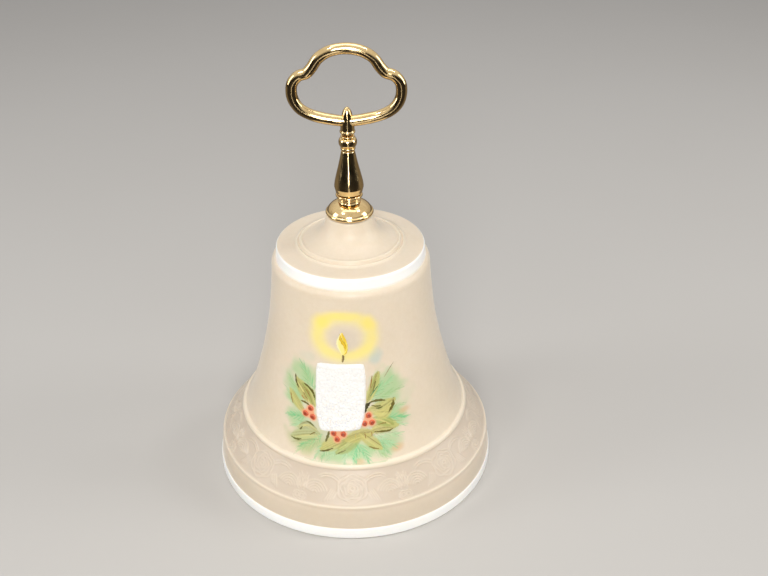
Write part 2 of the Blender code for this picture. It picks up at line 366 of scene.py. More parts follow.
# Painted shade on the skirt: the heights in metres where the glass colour darkens and fades, and further
# down, the darker colour.
SKIRT_SHADE_TOP = (0.0255, 0.0235)
SKIRT_SHADE_FOOT = (0.0145, 0.0115)
GLASS_CREAM = linear((225, 209, 184))
GLASS_WARM = linear((230, 214, 191))
GLASS_PALE = linear((244, 232, 214))
GLASS_SKIRT_SHADE = linear((208, 192, 172))
BAND_WHITE = linear((255, 254, 249))


def glass_material():
    """Sand-blasted opal glass, with painted shade over the skirt. The mesh's paint attribute lays colour
    over it by its alpha: the painted decoration, and painted highlights on the ring beads, the crown rings
    and the pressed relief.
    """
    material, tree, shader = new_material("satin_glass")
    cream = mixed(tree, scattered(tree, 38.0, 0.35, 0.65, 0.0, 1.0, 3.0), GLASS_CREAM, GLASS_WARM)
    cream = mixed(tree, scattered(tree, 2600.0, 0.3, 0.7, 0.0, 0.07, 2.0), cream, GLASS_CREAM * 0.8)
    cream = mixed(tree, scattered(tree, 520.0, 0.38, 0.68, 0.0, 0.16, 5.0, 0.7), cream, GLASS_PALE)
    # Painted shade: the glass darkens over the skirt between the ring beads, and less on the lower skirt
    # and rim, inside too, as shade on the upward-facing cone.
    height = position(tree)["Z"]
    under = ranged(tree, height, *SKIRT_SHADE_TOP, 0.0, 1.0)
    foot = ranged(tree, height, *SKIRT_SHADE_FOOT, 1.0, 0.35)
    cream = mixed(tree, calculated(tree, "MULTIPLY", under, foot).outputs[0], cream, GLASS_SKIRT_SHADE)
    band = add_node(tree, "ShaderNodeAttribute", attribute_name="white_band")
    cream = mixed(tree, band.outputs["Fac"], cream, BAND_WHITE)
    paint = add_node(tree, "ShaderNodeAttribute", attribute_name="paint")
    colour = mixed(tree, paint.outputs["Alpha"], cream, paint.outputs["Color"])
    tree.links.new(colour, shader.inputs["Base Color"])
    tree.links.new(scattered(tree, 900.0, 0.3, 0.7, 0.36, 0.5), shader.inputs["Roughness"])
    set_shader(
        shader, Subsurface_Weight=0.22, Subsurface_Radius=(1.0, 0.72, 0.48), Subsurface_Scale=0.004,
        Coat_Weight=0.1, Coat_Roughness=0.3,
        Sheen_Weight=0.35, Sheen_Roughness=0.4, Sheen_Tint=(1.0, 0.97, 0.92, 1.0),
    )
    bump(tree, shader, noise(tree, 3200.0, 3.0), 0.16, 0.0002)
    return material


def enamel_material(name, roughness, grain, coat=0.2):
    """Thick brushed paint, whose colour is in the mesh's paint attribute."""
    material, tree, shader = new_material(name)
    paint = add_node(tree, "ShaderNodeAttribute", attribute_name="paint")
    speck = scattered(tree, 1500.0, 0.35, 0.7, 0.0, 0.25, 3.0)
    colour = mixed(tree, speck, paint.outputs["Color"], (0.9, 0.88, 0.84), "MULTIPLY")
    tree.links.new(colour, shader.inputs["Base Color"])
    rough = scattered(tree, 700.0, 0.3, 0.7, roughness - 0.08, roughness + 0.1)
    tree.links.new(rough, shader.inputs["Roughness"])
    set_shader(shader, Coat_Weight=coat, Coat_Roughness=0.2)
    bump(tree, shader, noise(tree, grain, 4.0), 0.35, 0.0003)
    return material


def metal_material(name, colour, dark, roughness):
    """Polished or drawn metal: tone that drifts, fine scuffs in the gloss, a faint cast surface."""
    material, tree, shader = new_material(name)
    tone = mixed(tree, scattered(tree, 160.0, 0.42, 0.72, 0.0, 0.55, 5.0, 0.6), colour, dark)
    tone = mixed(tree, scattered(tree, 900.0, 0.62, 0.74, 0.0, 0.35, 3.0), tone, np.array(dark) * 0.7)
    tree.links.new(tone, shader.inputs["Base Color"])
    rough = scattered(tree, 420.0, 0.3, 0.75, roughness * 0.7, roughness * 1.7, 6.0, 0.65)
    tree.links.new(rough, shader.inputs["Roughness"])
    set_shader(shader, Metallic=1.0)
    bump(tree, shader, noise(tree, 700.0, 4.0), 0.05, 0.0002)
    return material


def soft_material():
    material, tree, shader = new_material("soft_plastic")
    tone = mixed(tree, noise(tree, 220.0, 3.0), (0.72, 0.70, 0.64), (0.80, 0.78, 0.73))
    tree.links.new(tone, shader.inputs["Base Color"])
    tree.links.new(scattered(tree, 800.0, 0.3, 0.7, 0.45, 0.62), shader.inputs["Roughness"])
    set_shader(shader, Subsurface_Weight=0.2, Subsurface_Scale=0.001)
    bump(tree, shader, noise(tree, 1600.0), 0.1, 0.0002)
    return material


BACKDROP = (0.46, 0.45, 0.44)
FADE_FROM = 0.75
FADE_TO = 1.7
# Where the pale stripe of painted highlight lies across the floor, in metres.
HIGHLIGHT_STRIPE_MIDDLE = 0.01
HIGHLIGHT_STRIPE_HALF_WIDTH = 0.016


def floor_material():
    """A pale matt floor that fades into the backdrop far away.

    Polished metal mirrors a painted reflection instead: a dark floor, a little lighter behind the bell,
    with one pale stripe of painted highlight that runs towards the camera.
    """
    material, tree, shader = new_material("studio_floor")
    pale = mixed(tree, noise(tree, 3.0, 3.0), linear((196, 192, 186)), linear((202, 199, 194)))
    # Painted reflection: glossy rays see the floor dark, lighter behind the bell, with a pale stripe in
    # front as a painted highlight for the gilt to mirror.
    place = position(tree)
    on_highlight_stripe = calculated(tree, "COMPARE", place["X"], HIGHLIGHT_STRIPE_MIDDLE)
    on_highlight_stripe.inputs[2].default_value = HIGHLIGHT_STRIPE_HALF_WIDTH
    in_front = ranged(tree, place["Y"], -0.11, -0.13, 0.0, 1.0)
    stripe = mixed(tree, in_front, (0.0, 0.0, 0.0), on_highlight_stripe.outputs[0])
    behind = ranged(tree, place["Y"], -0.12, 0.1, 0.0, 1.0)
    dark = mixed(tree, behind, (0.012, 0.010, 0.008), (0.2, 0.17, 0.13))
    painted_reflection = mixed(tree, stripe, dark, (0.85, 0.82, 0.78))
    ray = add_node(tree, "ShaderNodeLightPath").outputs
    tree.links.new(mixed(tree, ray["Is Glossy Ray"], pale, painted_reflection), shader.inputs["Base Color"])
    tree.links.new(scattered(tree, 60.0, 0.3, 0.7, 0.85, 0.95), shader.inputs["Roughness"])
    set_shader(shader, Specular_IOR_Level=0.1)
    reach = add_node(tree, "ShaderNodeVectorMath", operation="LENGTH")
    tree.links.new(object_coords(tree), reach.inputs[0])
    fade = ranged(tree, reach.outputs["Value"], FADE_FROM, FADE_TO, 0.0, 1.0)
    backdrop = add_node(tree, "ShaderNodeEmission", Color=(*BACKDROP, 1.0))
    blend = tree.nodes.new("ShaderNodeMixShader")
    faded = calculated(tree, "MULTIPLY", fade, ray["Is Camera Ray"])
    for node, socket in ((faded, 0), (shader, 1), (backdrop, 2)):
        tree.links.new(node.outputs[0], blend.inputs[socket])
    tree.links.new(blend.outputs[0], tree.nodes["Material Output"].inputs["Surface"])
    return material


GLASS = glass_material()
WHITE_ENAMEL = enamel_material("white_enamel", 0.42, 900.0, 0.1)
COLOUR_ENAMEL = enamel_material("colour_enamel", 0.38, 1400.0, 0.35)
GILT = metal_material("gilt_plate", (0.93, 0.70, 0.36), (0.62, 0.41, 0.17), 0.11)
WIRE = metal_material("brass_wire", (0.80, 0.58, 0.27), (0.46, 0.31, 0.13), 0.2)
STEEL = metal_material("zinc_plate", (0.66, 0.65, 0.62), (0.42, 0.41, 0.38), 0.26)
SOFT = soft_material()


# ---------------------------------------------------------------- the glass

CROWN_TOP = [(2.8, NECK_TOP), (7.7, NECK_TOP)]
NECK = [(7.7, NECK_TOP), (8.15, NECK_TOP - 0.15), (8.3, NECK_TOP - 0.7), (8.65, 101.6), (9.6, 98.9),
        (11.5, 96.7), (13.9, 95.3), (16.3, 94.45)]
CROWN_RINGS = [(16.3, 94.45), (16.9, 94.4), (17.35, 94.62), (17.75, 94.5), (18.05, 93.85), (18.3, 93.4),
               (18.6, 93.45), (18.95, 93.65), (19.3, 93.45), (19.7, 93.12)]
CROWN_DISC = [(19.7, 93.12), (21.8, 92.98), (25.4, 92.74)]
CROWN_EDGE = [(25.4, 92.74), (26.1, 92.55), (26.45, 92.05), (26.52, 91.2)]
SHOULDER_BAND = [(26.52, 91.2), (26.62, 89.4), (26.75, 88.2)]
SHOULDER = [(26.75, 88.2), (27.0, 88.12), (27.6, 87.75), (28.15, 86.9), (28.4, 85.8), (28.45, 84.6)]
WAIST = [(28.45, 84.6), (28.8, 79.8), (29.55, 72.2), (30.8, 62.7), (33.2, 51.2), (36.1, 40.4), (39.3, 30.8),
         (42.0, 25.1)]
SKIRT = [(42.0, 25.1), (44.4, 21.7), (47.4, 18.0), (51.2, 13.2)]
LOWER_SKIRT = [(51.2, 13.2), (51.85, 11.0), (52.15, 8.8), (52.4, 5.2), (52.45, 4.55)]
RIM = [(52.45, 4.55), (52.75, 4.35), (52.9, 4.0), (53.0, 2.2), (53.0, 0.8), (52.8, 0.25), (52.3, 0.0)]
FOOT = [(52.3, 0.0), (49.5, 0.0)]
INSIDE = [(49.5, 0.0), (48.9, 0.35), (48.6, 1.2), (48.45, 4.0), (48.1, 8.6), (47.4, 11.6), (43.4, 16.8),
          (39.4, 22.0), (37.6, 24.9), (35.5, 29.4), (32.3, 39.3), (29.3, 50.3), (26.9, 62.1),
          (25.5, 72.0), (24.8, 79.4), (24.4, 84.2), (23.3, 86.7), (21.4, 88.2), (18.8, 89.3),
          (13.0, 91.7), (9.4, 93.7), (8.2, 95.1), (7.4, SEAT_Z)]
SEAT = [(7.4, SEAT_Z), (2.8, SEAT_Z)]
BAND_BOTTOM_Z = 88.2
BAND_TOP_Z = 92.62
RIM_BAND_TOP_Z = 4.4
WAIST_SPACING = 0.26
SKIRT_SPACING = 0.3
SKIRT_MEAN_RADIUS = 47.0
FRONT_HALF_ANGLE = math.radians(42)
FRONT_STEP = math.radians(0.42)
BACK_STEP = math.radians(2.0)
SKIRT_COLUMNS = 900
# A ring bead is its height on the glass, its half width, and how far it stands proud.
UPPER_BEAD = (24.7, 1.15, 0.75)
LOWER_BEAD = (13.2, 0.55, 0.42)
PAINT_HALF_WIDTH = 27
PLAIN_COLUMNS = 192


def waist_angles():
    """Fine columns across the painted front, wide ones round the back."""
    front = np.arange(-FRONT_HALF_ANGLE, FRONT_HALF_ANGLE, FRONT_STEP)
    back_count = int(round((TAU - 2 * FRONT_HALF_ANGLE) / BACK_STEP))
    back = FRONT_HALF_ANGLE + np.arange(back_count) * (TAU - 2 * FRONT_HALF_ANGLE) / back_count
    angles = np.concatenate([front, back])
    return np.sort(np.mod(angles, TAU))


def bump_ring(z, centre, half_width, height):
    """A round-topped ring standing proud, as a height over the line."""
    t = np.clip(np.abs(z - centre) / half_width, 0.0, 1.0)
    return height * np.sqrt(np.maximum(1.0 - t ** 2, 0.0)) * (1 - t ** 4)


# Painted highlight: a pale cream laid over the pressed relief, the ring beads and the crown rings, and how
# strongly it covers each.
RELIEF_HIGHLIGHT_COVER = 0.3
BEAD_PAINTED_HIGHLIGHT = (250, 237, 214)
BEAD_HIGHLIGHT_COVER = 0.45


class Relief:
    """Low pressed ornament between the two ring beads, in millimetres on the unrolled cone.

    Across is p, down is q. Each repeat has a rose, and on both sides a double arc, a fan of nested
    arcs, slanted strokes, a wavy fluted column and a small double circle.
    """

    REPEATS = 8
    HEIGHT = 0.36

    def __init__(self, angles, down, radius):
        self.angles = angles
        self.down = down
        self.radius = radius

    def line(self, distance, width):
        return np.exp(-(distance / width) ** 2)

    def span(self, value, low, high, soft=0.6):
        return smoothstep(low, low + soft, value) * (1 - smoothstep(high - soft, high, value))

    def arcs(self, p, q, centre, radii, start, end, width=0.23):
        dp = p - centre[0]
        dq = q - centre[1]
        away = np.hypot(dp, dq)
        window = self.span(np.degrees(np.arctan2(dq, dp)), start, end, 14)
        return sum(self.line(away - radius, width) for radius in radii) * window

    def rose(self, p, q):
        turn = np.arctan2(q - 8.2, p)
        away = np.hypot(p * 0.9, q - 8.2)
        height = self.line(away - 0.7, 0.25)
        for ring, (radius, petals) in enumerate(((1.6, 3), (2.6, 5), (3.7, 5), (4.8, 6))):
            edge = radius + 0.28 * np.cos(petals * turn + ring * 1.1)
            height += self.line(away - edge, 0.22) * (0.55 + 0.45 * np.cos(petals * turn / 2 + ring) ** 2)
        return height

    def side(self, p, q):
        height = self.arcs(p, q, (9.2, 10.4), (6.0, 6.9), -138, -52)
        height += self.arcs(p, q, (13.4, 10.8), (0.9, 1.8, 2.7, 3.6, 4.5), -172, -8, 0.25)
        for k in range(4):
            slant = p - 6.2 - 0.8 * k - 0.5 * (q - 11.0)
            height += self.line(slant, 0.2) * self.span(q, 9.4 - 0.3 * k, 12.6 + 0.3 * k)
        for k, reach in enumerate((2.6, 3.4, 2.8)):
            wave = p - 16.6 - 0.85 * k - 0.22 * np.sin(q * 2.3 + k)
            height += self.line(wave, 0.2) * self.span(q, 7.6 - reach, 7.6 + reach)
        return height + self.arcs(p, q, (17.6, 12.8), (0.7, 1.4), -180, 180, 0.2)

    def heights(self):
        pitch = TAU / self.REPEATS
        turn = np.mod(self.angles + pitch / 2, pitch) - pitch / 2
        p = turn[None, :] * self.radius
        q = self.down[:, None] + 0.0 * p
        height = self.rose(p, q) + self.side(p, q) + self.side(-p, q)
        worn = 0.55 + 0.45 * value_noise(np.sin(self.angles)[None, :] * 40 + 0 * q, q, 0.35, 51)
        return self.HEIGHT * np.minimum(height, 1.0) * worn


def skirt_relief(profile, angles):
    return Relief(angles, run_along(profile), SKIRT_MEAN_RADIUS).heights()


# ---------------------------------------------------------------- painting

OLIVE = (194, 186, 102)
OLIVE_GREEN = (162, 172, 90)
DARK_OLIVE = (92, 88, 42)
BROWN = (150, 118, 60)
MINT = (98, 196, 132)
PALE_GREEN = (164, 202, 142)
SOFT_GREEN = (186, 192, 136)
RUST = (222, 176, 130)
SALMON = (244, 172, 128)


def value_noise(x, y, scale, seed):
    """Smooth noise from 0 to 1 on a plane, the same on each run."""
    table = np.random.default_rng(seed).random((64, 64))
    u = x * scale
    v = y * scale
    i = np.floor(u).astype(int)
    j = np.floor(v).astype(int)
    fu = u - i
    fv = v - j
    fu = fu * fu * (3 - 2 * fu)
    fv = fv * fv * (3 - 2 * fv)
    corner = [table[(i + a) % 64, (j + b) % 64] for a in (0, 1) for b in (0, 1)]
    low = corner[0] * (1 - fv) + corner[1] * fv
    high = corner[2] * (1 - fv) + corner[3] * fv
    return low * (1 - fu) + high * fu


class Canvas:
    """Paint on a set of surface points, laid down one brush stroke at a time.

    Points are (x, z) in millimetres, seen from the front. Each stroke mixes its colour over what is
    there and may raise the surface.
    """

    SQUARENESS = 2.35

    def __init__(self, x, z):
        self.x = x
        self.z = z
        self.colour = np.zeros((len(x), 3))
        self.cover = np.zeros(len(x))
        self.lift = np.zeros(len(x))
        self.grain = value_noise(x, z, 2.6, 3) * 0.6 + value_noise(x, z, 6.0, 4) * 0.4

    def lay(self, mask, colour, height=0.0, where=None):
        where = slice(None) if where is None else where
        tone = linear(colour)
        before = self.cover[where]
        after = before + mask * (1 - before)
        share = np.where(after > 1e-6, mask / np.maximum(after, 1e-6), 0.0)[:, None]
        self.colour[where] = self.colour[where] * (1 - share) + tone * share
        self.cover[where] = after
        self.lift[where] = np.maximum(self.lift[where], mask * height)

    def near(self, points, margin):
        pts = np.array(points, float)
        low = pts.min(axis=0) - margin
        high = pts.max(axis=0) + margin
        inside = (self.x > low[0]) & (self.x < high[0]) & (self.z > low[1]) & (self.z < high[1])
        return np.flatnonzero(inside)

    def stroke(self, points, width, colour, opacity=0.9, soft=0.35, taper="both",
               height=0.02, bristle=0.35):
        """A stroke along the points, width millimetres across at its widest."""
        where = self.near(points, width)
        if len(where) == 0:
            return
        pts = np.array(points, float)
        if len(pts) > 2:
            pts = smooth_points(pts, max(width * 0.5, 0.4))
        x = self.x[where]
        z = self.z[where]
        lengths = np.linalg.norm(np.diff(pts, axis=0), axis=1)
        run = run_along(pts)
        best = np.full(len(where), 1e9)
        along = np.zeros(len(where))
        for k in range(len(pts) - 1):
            d = pts[k + 1] - pts[k]
            t = np.clip(((x - pts[k, 0]) * d[0] + (z - pts[k, 1]) * d[1]) / max(d @ d, 1e-9), 0.0, 1.0)
            gap = np.hypot(x - pts[k, 0] - t * d[0], z - pts[k, 1] - t * d[1])
            closer = gap < best
            best = np.where(closer, gap, best)
            along = np.where(closer, run[k] + t * lengths[k], along)
        share = along / run[-1]
        half = width / 2 * {
            "both": np.sqrt(np.maximum(np.sin(np.pi * np.clip(share, 0.02, 0.98)), 0.0)),
            "end": np.sqrt(np.clip(1.03 - share, 0.0, 1.0)),
            "none": np.ones(len(where)),
        }[taper]
        mask = 1 - smoothstep(half * (1 - soft), half * (1 + soft) + 0.02, best)
        mask = mask * opacity * (1 - bristle + bristle * smoothstep(0.2, 0.7, self.grain[where]))
        self.lay(mask, colour, height, where)

    def spray(self, base, tip, needles, length, spread, colour, opacity, width=0.42, seed=0):
        """Pine needles that leave a stem to both sides."""
        draw = np.random.default_rng(seed)
        base = np.array(base, float)
        tip = np.array(tip, float)
        heading = math.atan2(*(tip - base)[::-1])
        for k in range(needles):
            share = k / max(needles - 1, 1)
            start = base + (tip - base) * share
            side = 1 if k % 2 else -1
            turn = heading + side * math.radians(spread) * (1.1 - 0.8 * share) + draw.normal(0, 0.09)
            reach = length * (1.0 - 0.35 * share) * draw.uniform(0.75, 1.15)
            end = start + reach * np.array([math.cos(turn), math.sin(turn)])
            bend = (start + end) / 2 + draw.normal(0, 0.12, 2)
            strength = opacity * draw.uniform(0.55, 1.0)
            thick = width * draw.uniform(0.7, 1.3)
            self.stroke([start, bend, end], thick, colour, strength, 0.55, "end", 0.012)

    def cloud(self, centre, size, colour, opacity, seed=1):
        """A soft airbrushed patch."""
        away = np.hypot((self.x - centre[0]) / size[0], (self.z - centre[1]) / size[1])
        ragged = 0.35 * (value_noise(self.x, self.z, 0.45, seed) - 0.5)
        self.lay(opacity * (1 - smoothstep(0.25, 1.0, away + ragged)), colour)

    def halo(self, centre, size, middle, half_width, colour, opacity):
        """An airbrushed ring, a little squarer than an ellipse."""
        across = np.abs((self.x - centre[0]) / size[0]) ** self.SQUARENESS
        upward = np.abs((self.z - centre[1]) / size[1]) ** self.SQUARENESS
        away = (across + upward) ** (1 / self.SQUARENESS)
        mist = np.exp(-(np.abs(away - middle) / half_width) ** 2.6)
        drift = 0.85 + 0.3 * (value_noise(self.x, self.z, 0.3, 8) - 0.5)
        self.lay(np.clip(opacity * mist * drift, 0.0, 1.0), colour)


def paint_halo(canvas):
    """An airbrushed ring of light, strong over the flame and fading below it."""
    canvas.cloud((8.6, 63.4), (3.4, 4.4), (186, 204, 196), 0.6, 21)
    canvas.cloud((-1.8, 71.0), (6.4, 7.0), (210, 196, 180), 0.4, 22)
    canvas.halo((-1.9, 70.9), (1.02, 0.84), 8.9, 2.9, (250, 234, 150), 0.6)
    canvas.halo((-1.9, 72.0), (1.03, 0.84), 8.9, 2.1, (252, 232, 116), 0.6)
    canvas.cloud((-9.6, 76.8), (4.8, 4.2), (255, 232, 108), 0.5, 23)
    canvas.cloud((6.4, 76.4), (4.2, 4.0), (253, 229, 108), 0.45, 24)
    canvas.cloud((-2.0, 79.4), (8.0, 2.2), (254, 233, 116), 0.4, 25)


def paint_greens(canvas):
    """Airbrushed greens, then pine sprays that point away from the candle."""
    for centre, size, colour, opacity in (
        ((-15.5, 47.0), (11.5, 15.0), (206, 208, 176), 0.6),
        ((-3.0, 33.0), (23.0, 9.5), (202, 207, 172), 0.75),
        ((12.5, 44.0), (11.0, 15.0), (204, 208, 174), 0.65),
        ((-16.5, 54.5), (6.5, 7.0), PALE_GREEN, 0.75),
        ((-20.5, 47.0), (4.6, 8.0), PALE_GREEN, 0.8),
        ((-20.0, 38.0), (5.0, 4.6), PALE_GREEN, 0.7),
        ((-16.0, 31.0), (10.0, 5.6), SOFT_GREEN, 0.9),
        ((-6.0, 29.0), (10.0, 4.4), PALE_GREEN, 0.75),
        ((3.0, 29.0), (8.0, 5.0), PALE_GREEN, 0.8),
        ((12.0, 31.0), (8.5, 6.0), PALE_GREEN, 0.75),
        ((15.5, 40.0), (6.0, 7.0), PALE_GREEN, 0.75),
        ((12.5, 51.0), (7.5, 9.5), PALE_GREEN, 0.75),
        ((16.3, 28.8), (3.4, 2.2), RUST, 0.55),
        ((3.0, 26.3), (2.8, 1.5), RUST, 0.5),
        ((18.6, 41.2), (3.2, 1.8), RUST, 0.55),
        ((-15.0, 62.0), (4.0, 3.0), (205, 208, 184), 0.35),
    ):
        canvas.cloud(centre, size, colour, opacity, 31)
    sprays = (
        ((-13.0, 50.5), (-16.8, 58.0), 12, 4.2, 38, MINT, 0.75),
        ((-12.8, 46.5), (-15.6, 54.5), 12, 3.6, 40, PALE_GREEN, 0.8),
        ((-16.5, 45.0), (-21.8, 51.5), 12, 4.0, 40, PALE_GREEN, 0.85),
        ((-18.0, 42.0), (-22.6, 46.5), 10, 3.6, 42, (166, 205, 150), 0.8),
        ((-16.6, 39.4), (-22.0, 38.4), 12, 3.2, 38, MINT, 0.9),
        ((-16.8, 37.4), (-21.4, 35.0), 8, 2.8, 36, (160, 214, 160), 0.7),
        ((-10.5, 34.6), (-17.8, 29.6), 14, 4.0, 36, MINT, 0.8),
        ((-11.5, 32.4), (-19.4, 27.6), 12, 3.8, 34, PALE_GREEN, 0.8),
        ((-10.0, 31.4), (-13.0, 27.0), 9, 3.0, 36, (158, 208, 160), 0.7),
        ((-5.0, 30.6), (-8.8, 26.6), 10, 3.0, 36, (170, 206, 165), 0.7),
        ((-2.0, 31.0), (-2.6, 26.0), 10, 3.0, 36, (160, 205, 160), 0.7),
        ((1.6, 32.6), (1.0, 26.6), 16, 3.6, 34, MINT, 0.95),
        ((2.4, 32.2), (5.8, 26.4), 14, 3.6, 34, MINT, 0.85),
        ((5.6, 32.4), (11.6, 27.2), 14, 3.6, 34, PALE_GREEN, 0.85),
        ((8.0, 34.6), (14.4, 30.2), 14, 4.4, 30, (160, 214, 165), 0.85),
        ((8.6, 35.2), (16.4, 33.4), 12, 4.0, 30, (172, 212, 160), 0.75),
        ((10.8, 40.6), (18.6, 38.8), 14, 3.6, 32, MINT, 0.85),
        ((12.4, 38.6), (18.2, 36.0), 10, 3.2, 32, (166, 212, 160), 0.75),
        ((12.0, 43.6), (18.0, 43.2), 10, 3.2, 34, PALE_GREEN, 0.7),
        ((5.9, 48.0), (9.2, 54.2), 16, 3.6, 36, (84, 196, 128), 1.0),
        ((6.0, 47.8), (9.8, 52.4), 12, 3.0, 44, (96, 190, 124), 0.9),
        ((-8.5, 31.0), (-10.6, 26.8), 9, 3.0, 34, (120, 190, 130), 0.8),
        ((9.4, 33.0), (12.4, 28.6), 10, 3.2, 34, (128, 196, 138), 0.8),
        ((6.4, 48.4), (13.6, 53.4), 14, 4.6, 34, (150, 212, 155), 0.8),
        ((7.2, 47.6), (16.6, 49.4), 14, 4.4, 30, PALE_GREEN, 0.8),
    )
    for k, (base, tip, count, length, spread, colour, opacity) in enumerate(sprays):
        canvas.spray(base, tip, count, length, spread, colour, opacity, seed=100 + k)
        canvas.spray(base, tip, count // 2, length * 0.8, spread * 0.7, (214, 222, 170), 0.5, 0.28, 200 + k)
        canvas.spray(base, tip, count // 2, length * 0.9, spread * 0.8, (96, 150, 88), 0.45, 0.26, 250 + k)


def paint_leaves(canvas):
    """Holly leaves: a soft olive body of a few broad strokes, and dark brush lines on the edges."""
    bodies = (
        (((-19.2, 52.4), (-17.0, 49.4), (-14.2, 45.0)), 4.6, OLIVE),
        (((-17.0, 51.2), (-14.6, 49.0), (-13.0, 44.4)), 3.4, OLIVE_GREEN),
        (((-21.8, 47.4), (-19.6, 43.8), (-17.0, 41.0)), 3.2, OLIVE),
        (((-21.6, 31.3), (-16.5, 33.6), (-11.6, 34.8)), 4.0, SOFT_GREEN),
        (((-19.0, 34.8), (-15.8, 36.8), (-12.2, 35.4)), 2.8, (176, 178, 132)),
        (((-10.9, 29.6), (-6.5, 32.2), (-1.0, 34.6)), 4.8, OLIVE),
        (((-5.4, 29.0), (-1.6, 31.4), (3.4, 35.2)), 4.2, OLIVE_GREEN),
        (((-2.0, 33.4), (2.6, 35.2), (7.4, 35.6)), 4.6, OLIVE),
        (((3.0, 35.6), (6.6, 32.8), (10.4, 29.6)), 3.8, OLIVE),
        (((7.0, 36.2), (11.4, 37.4), (16.2, 36.4)), 4.6, OLIVE),
        (((7.6, 40.8), (11.2, 39.4), (14.6, 37.2)), 3.6, OLIVE_GREEN),
        (((6.0, 44.0), (10.2, 43.8), (15.0, 46.0)), 5.2, OLIVE),
        (((8.6, 42.2), (11.4, 41.6), (14.2, 44.0)), 3.6, (208, 200, 120)),
        (((5.6, 46.8), (7.6, 51.6), (9.6, 57.2)), 3.4, OLIVE),
        (((6.8, 51.0), (8.4, 54.0), (9.2, 57.4)), 2.4, (178, 184, 104)),
    )
    for k, (points, width, colour) in enumerate(bodies):
        canvas.stroke(points, width, colour, 0.85, 0.3, "both", 0.05, 0.2)
        line = np.array(points, float)
        draw = np.random.default_rng(300 + k)
        for _ in range(8):
            shift = draw.normal(0, width * 0.19, 2)
            shade = (222, 214, 138) if draw.random() < 0.5 else (140, 124, 58)
            canvas.stroke(line + shift, 0.3, shade, 0.5, 0.5, "both", 0.02)


STROKE_WARMTH = (14, 10, 2)
DARK_STROKES = (
    (((-19.7, 53.8), (-19.3, 50.8), (-18.2, 48.2)), 0.75, DARK_OLIVE),
    (((-17.4, 51.9), (-15.0, 50.6), (-13.4, 49.0), (-12.8, 45.4)), 1.0, (84, 82, 34)),
    (((-17.0, 50.4), (-15.4, 48.6), (-14.4, 46.6)), 0.5, BROWN),
    (((-17.8, 47.0), (-16.4, 45.7)), 0.5, (170, 110, 60)),
    (((-18.2, 44.8), (-16.4, 44.7), (-14.4, 43.8)), 0.7, (110, 104, 48)),
    (((-21.8, 47.0), (-21.4, 44.4), (-20.9, 42.4)), 0.5, BROWN),
    (((-16.6, 38.0), (-14.9, 37.8), (-13.0, 36.6)), 0.75, (104, 112, 66)),
    (((-17.4, 36.0), (-18.2, 34.9), (-18.9, 33.9)), 0.9, (96, 98, 52)),
    (((-22.1, 30.9), (-20.3, 30.7), (-17.4, 31.5)), 0.75, (100, 104, 54)),
    (((-8.0, 36.4), (-8.5, 34.4), (-9.6, 31.6)), 0.85, (96, 96, 54)),
    (((-11.6, 28.8), (-9.0, 29.4), (-6.0, 30.7)), 0.7, DARK_OLIVE),
    (((-5.8, 28.4), (-4.0, 29.2), (-1.6, 30.2)), 0.55, (112, 118, 62)),
    (((4.5, 36.4), (4.8, 34.8), (5.0, 33.2)), 0.45, BROWN),
    (((6.8, 36.4), (7.1, 35.2), (7.0, 34.0)), 0.4, BROWN),
    (((1.2, 36.0), (1.4, 33.6)), 0.35, (186, 164, 84)),
    (((5.6, 31.2), (7.8, 30.2), (10.3, 29.5)), 0.6, (122, 110, 48)),
    (((6.9, 35.9), (10.7, 35.6), (13.5, 35.4), (15.9, 36.4)), 0.8, (104, 98, 42)),
    (((4.6, 43.0), (5.3, 45.4), (6.8, 46.8)), 1.4, (62, 62, 34)),
    (((6.4, 46.7), (9.3, 47.0), (12.6, 46.3)), 0.85, (92, 90, 44)),
    (((7.0, 45.5), (9.0, 44.9), (11.2, 45.1)), 0.75, (104, 106, 50)),
    (((8.2, 44.4), (9.6, 44.1), (11.4, 44.5)), 0.8, (92, 102, 46)),
    (((14.8, 46.8), (14.4, 44.0), (12.5, 41.2)), 1.25, (96, 90, 38)),
    (((7.4, 56.4), (7.0, 53.4), (6.5, 50.6)), 0.5, BROWN),
    (((8.9, 55.2), (8.0, 52.1), (7.4, 49.4)), 0.65, (110, 112, 50)),
    (((11.6, 55.0), (13.2, 57.4), (15.0, 59.8)), 0.3, (150, 140, 112)),
    (((6.1, 48.0), (8.0, 50.6), (10.2, 53.4)), 0.5, (70, 128, 82)),
    (((-15.4, 33.2), (-13.6, 34.6), (-12.2, 35.0)), 0.5, (126, 116, 62)),
    (((8.8, 38.0), (11.4, 38.4), (13.4, 37.6)), 0.5, (134, 118, 56)),
    (((-17.4, 49.0), (-16.2, 46.9), (-15.0, 45.4)), 0.5, (130, 118, 58)),
)

BERRY_CLUSTERS = (
    ((-14.5, 43.1), (-16.4, 40.8), (-13.8, 40.2)),
    ((6.0, 42.0), (4.6, 39.2), (7.2, 39.3)),
    ((-6.4, 35.6), (-3.0, 35.5), (-5.2, 33.6)),
)


def paint_berry_grounds(canvas):
    for cluster in BERRY_CLUSTERS:
        middle = np.mean(cluster, axis=0)
        for berry in cluster:
            canvas.stroke([middle, berry], 2.9, SALMON, 0.85, 0.3, "none", 0.03, 0.1)


def paint_front(x, z):
    canvas = Canvas(x, z)
    paint_halo(canvas)
    paint_greens(canvas)
    paint_leaves(canvas)
    paint_berry_grounds(canvas)
    return canvas


def surface_radius(z):
    """The outside radius of the waist at a height, in millimetres."""
    return np.interp(-np.asarray(z), -WAIST_LINE[:, 1], WAIST_LINE[:, 0])


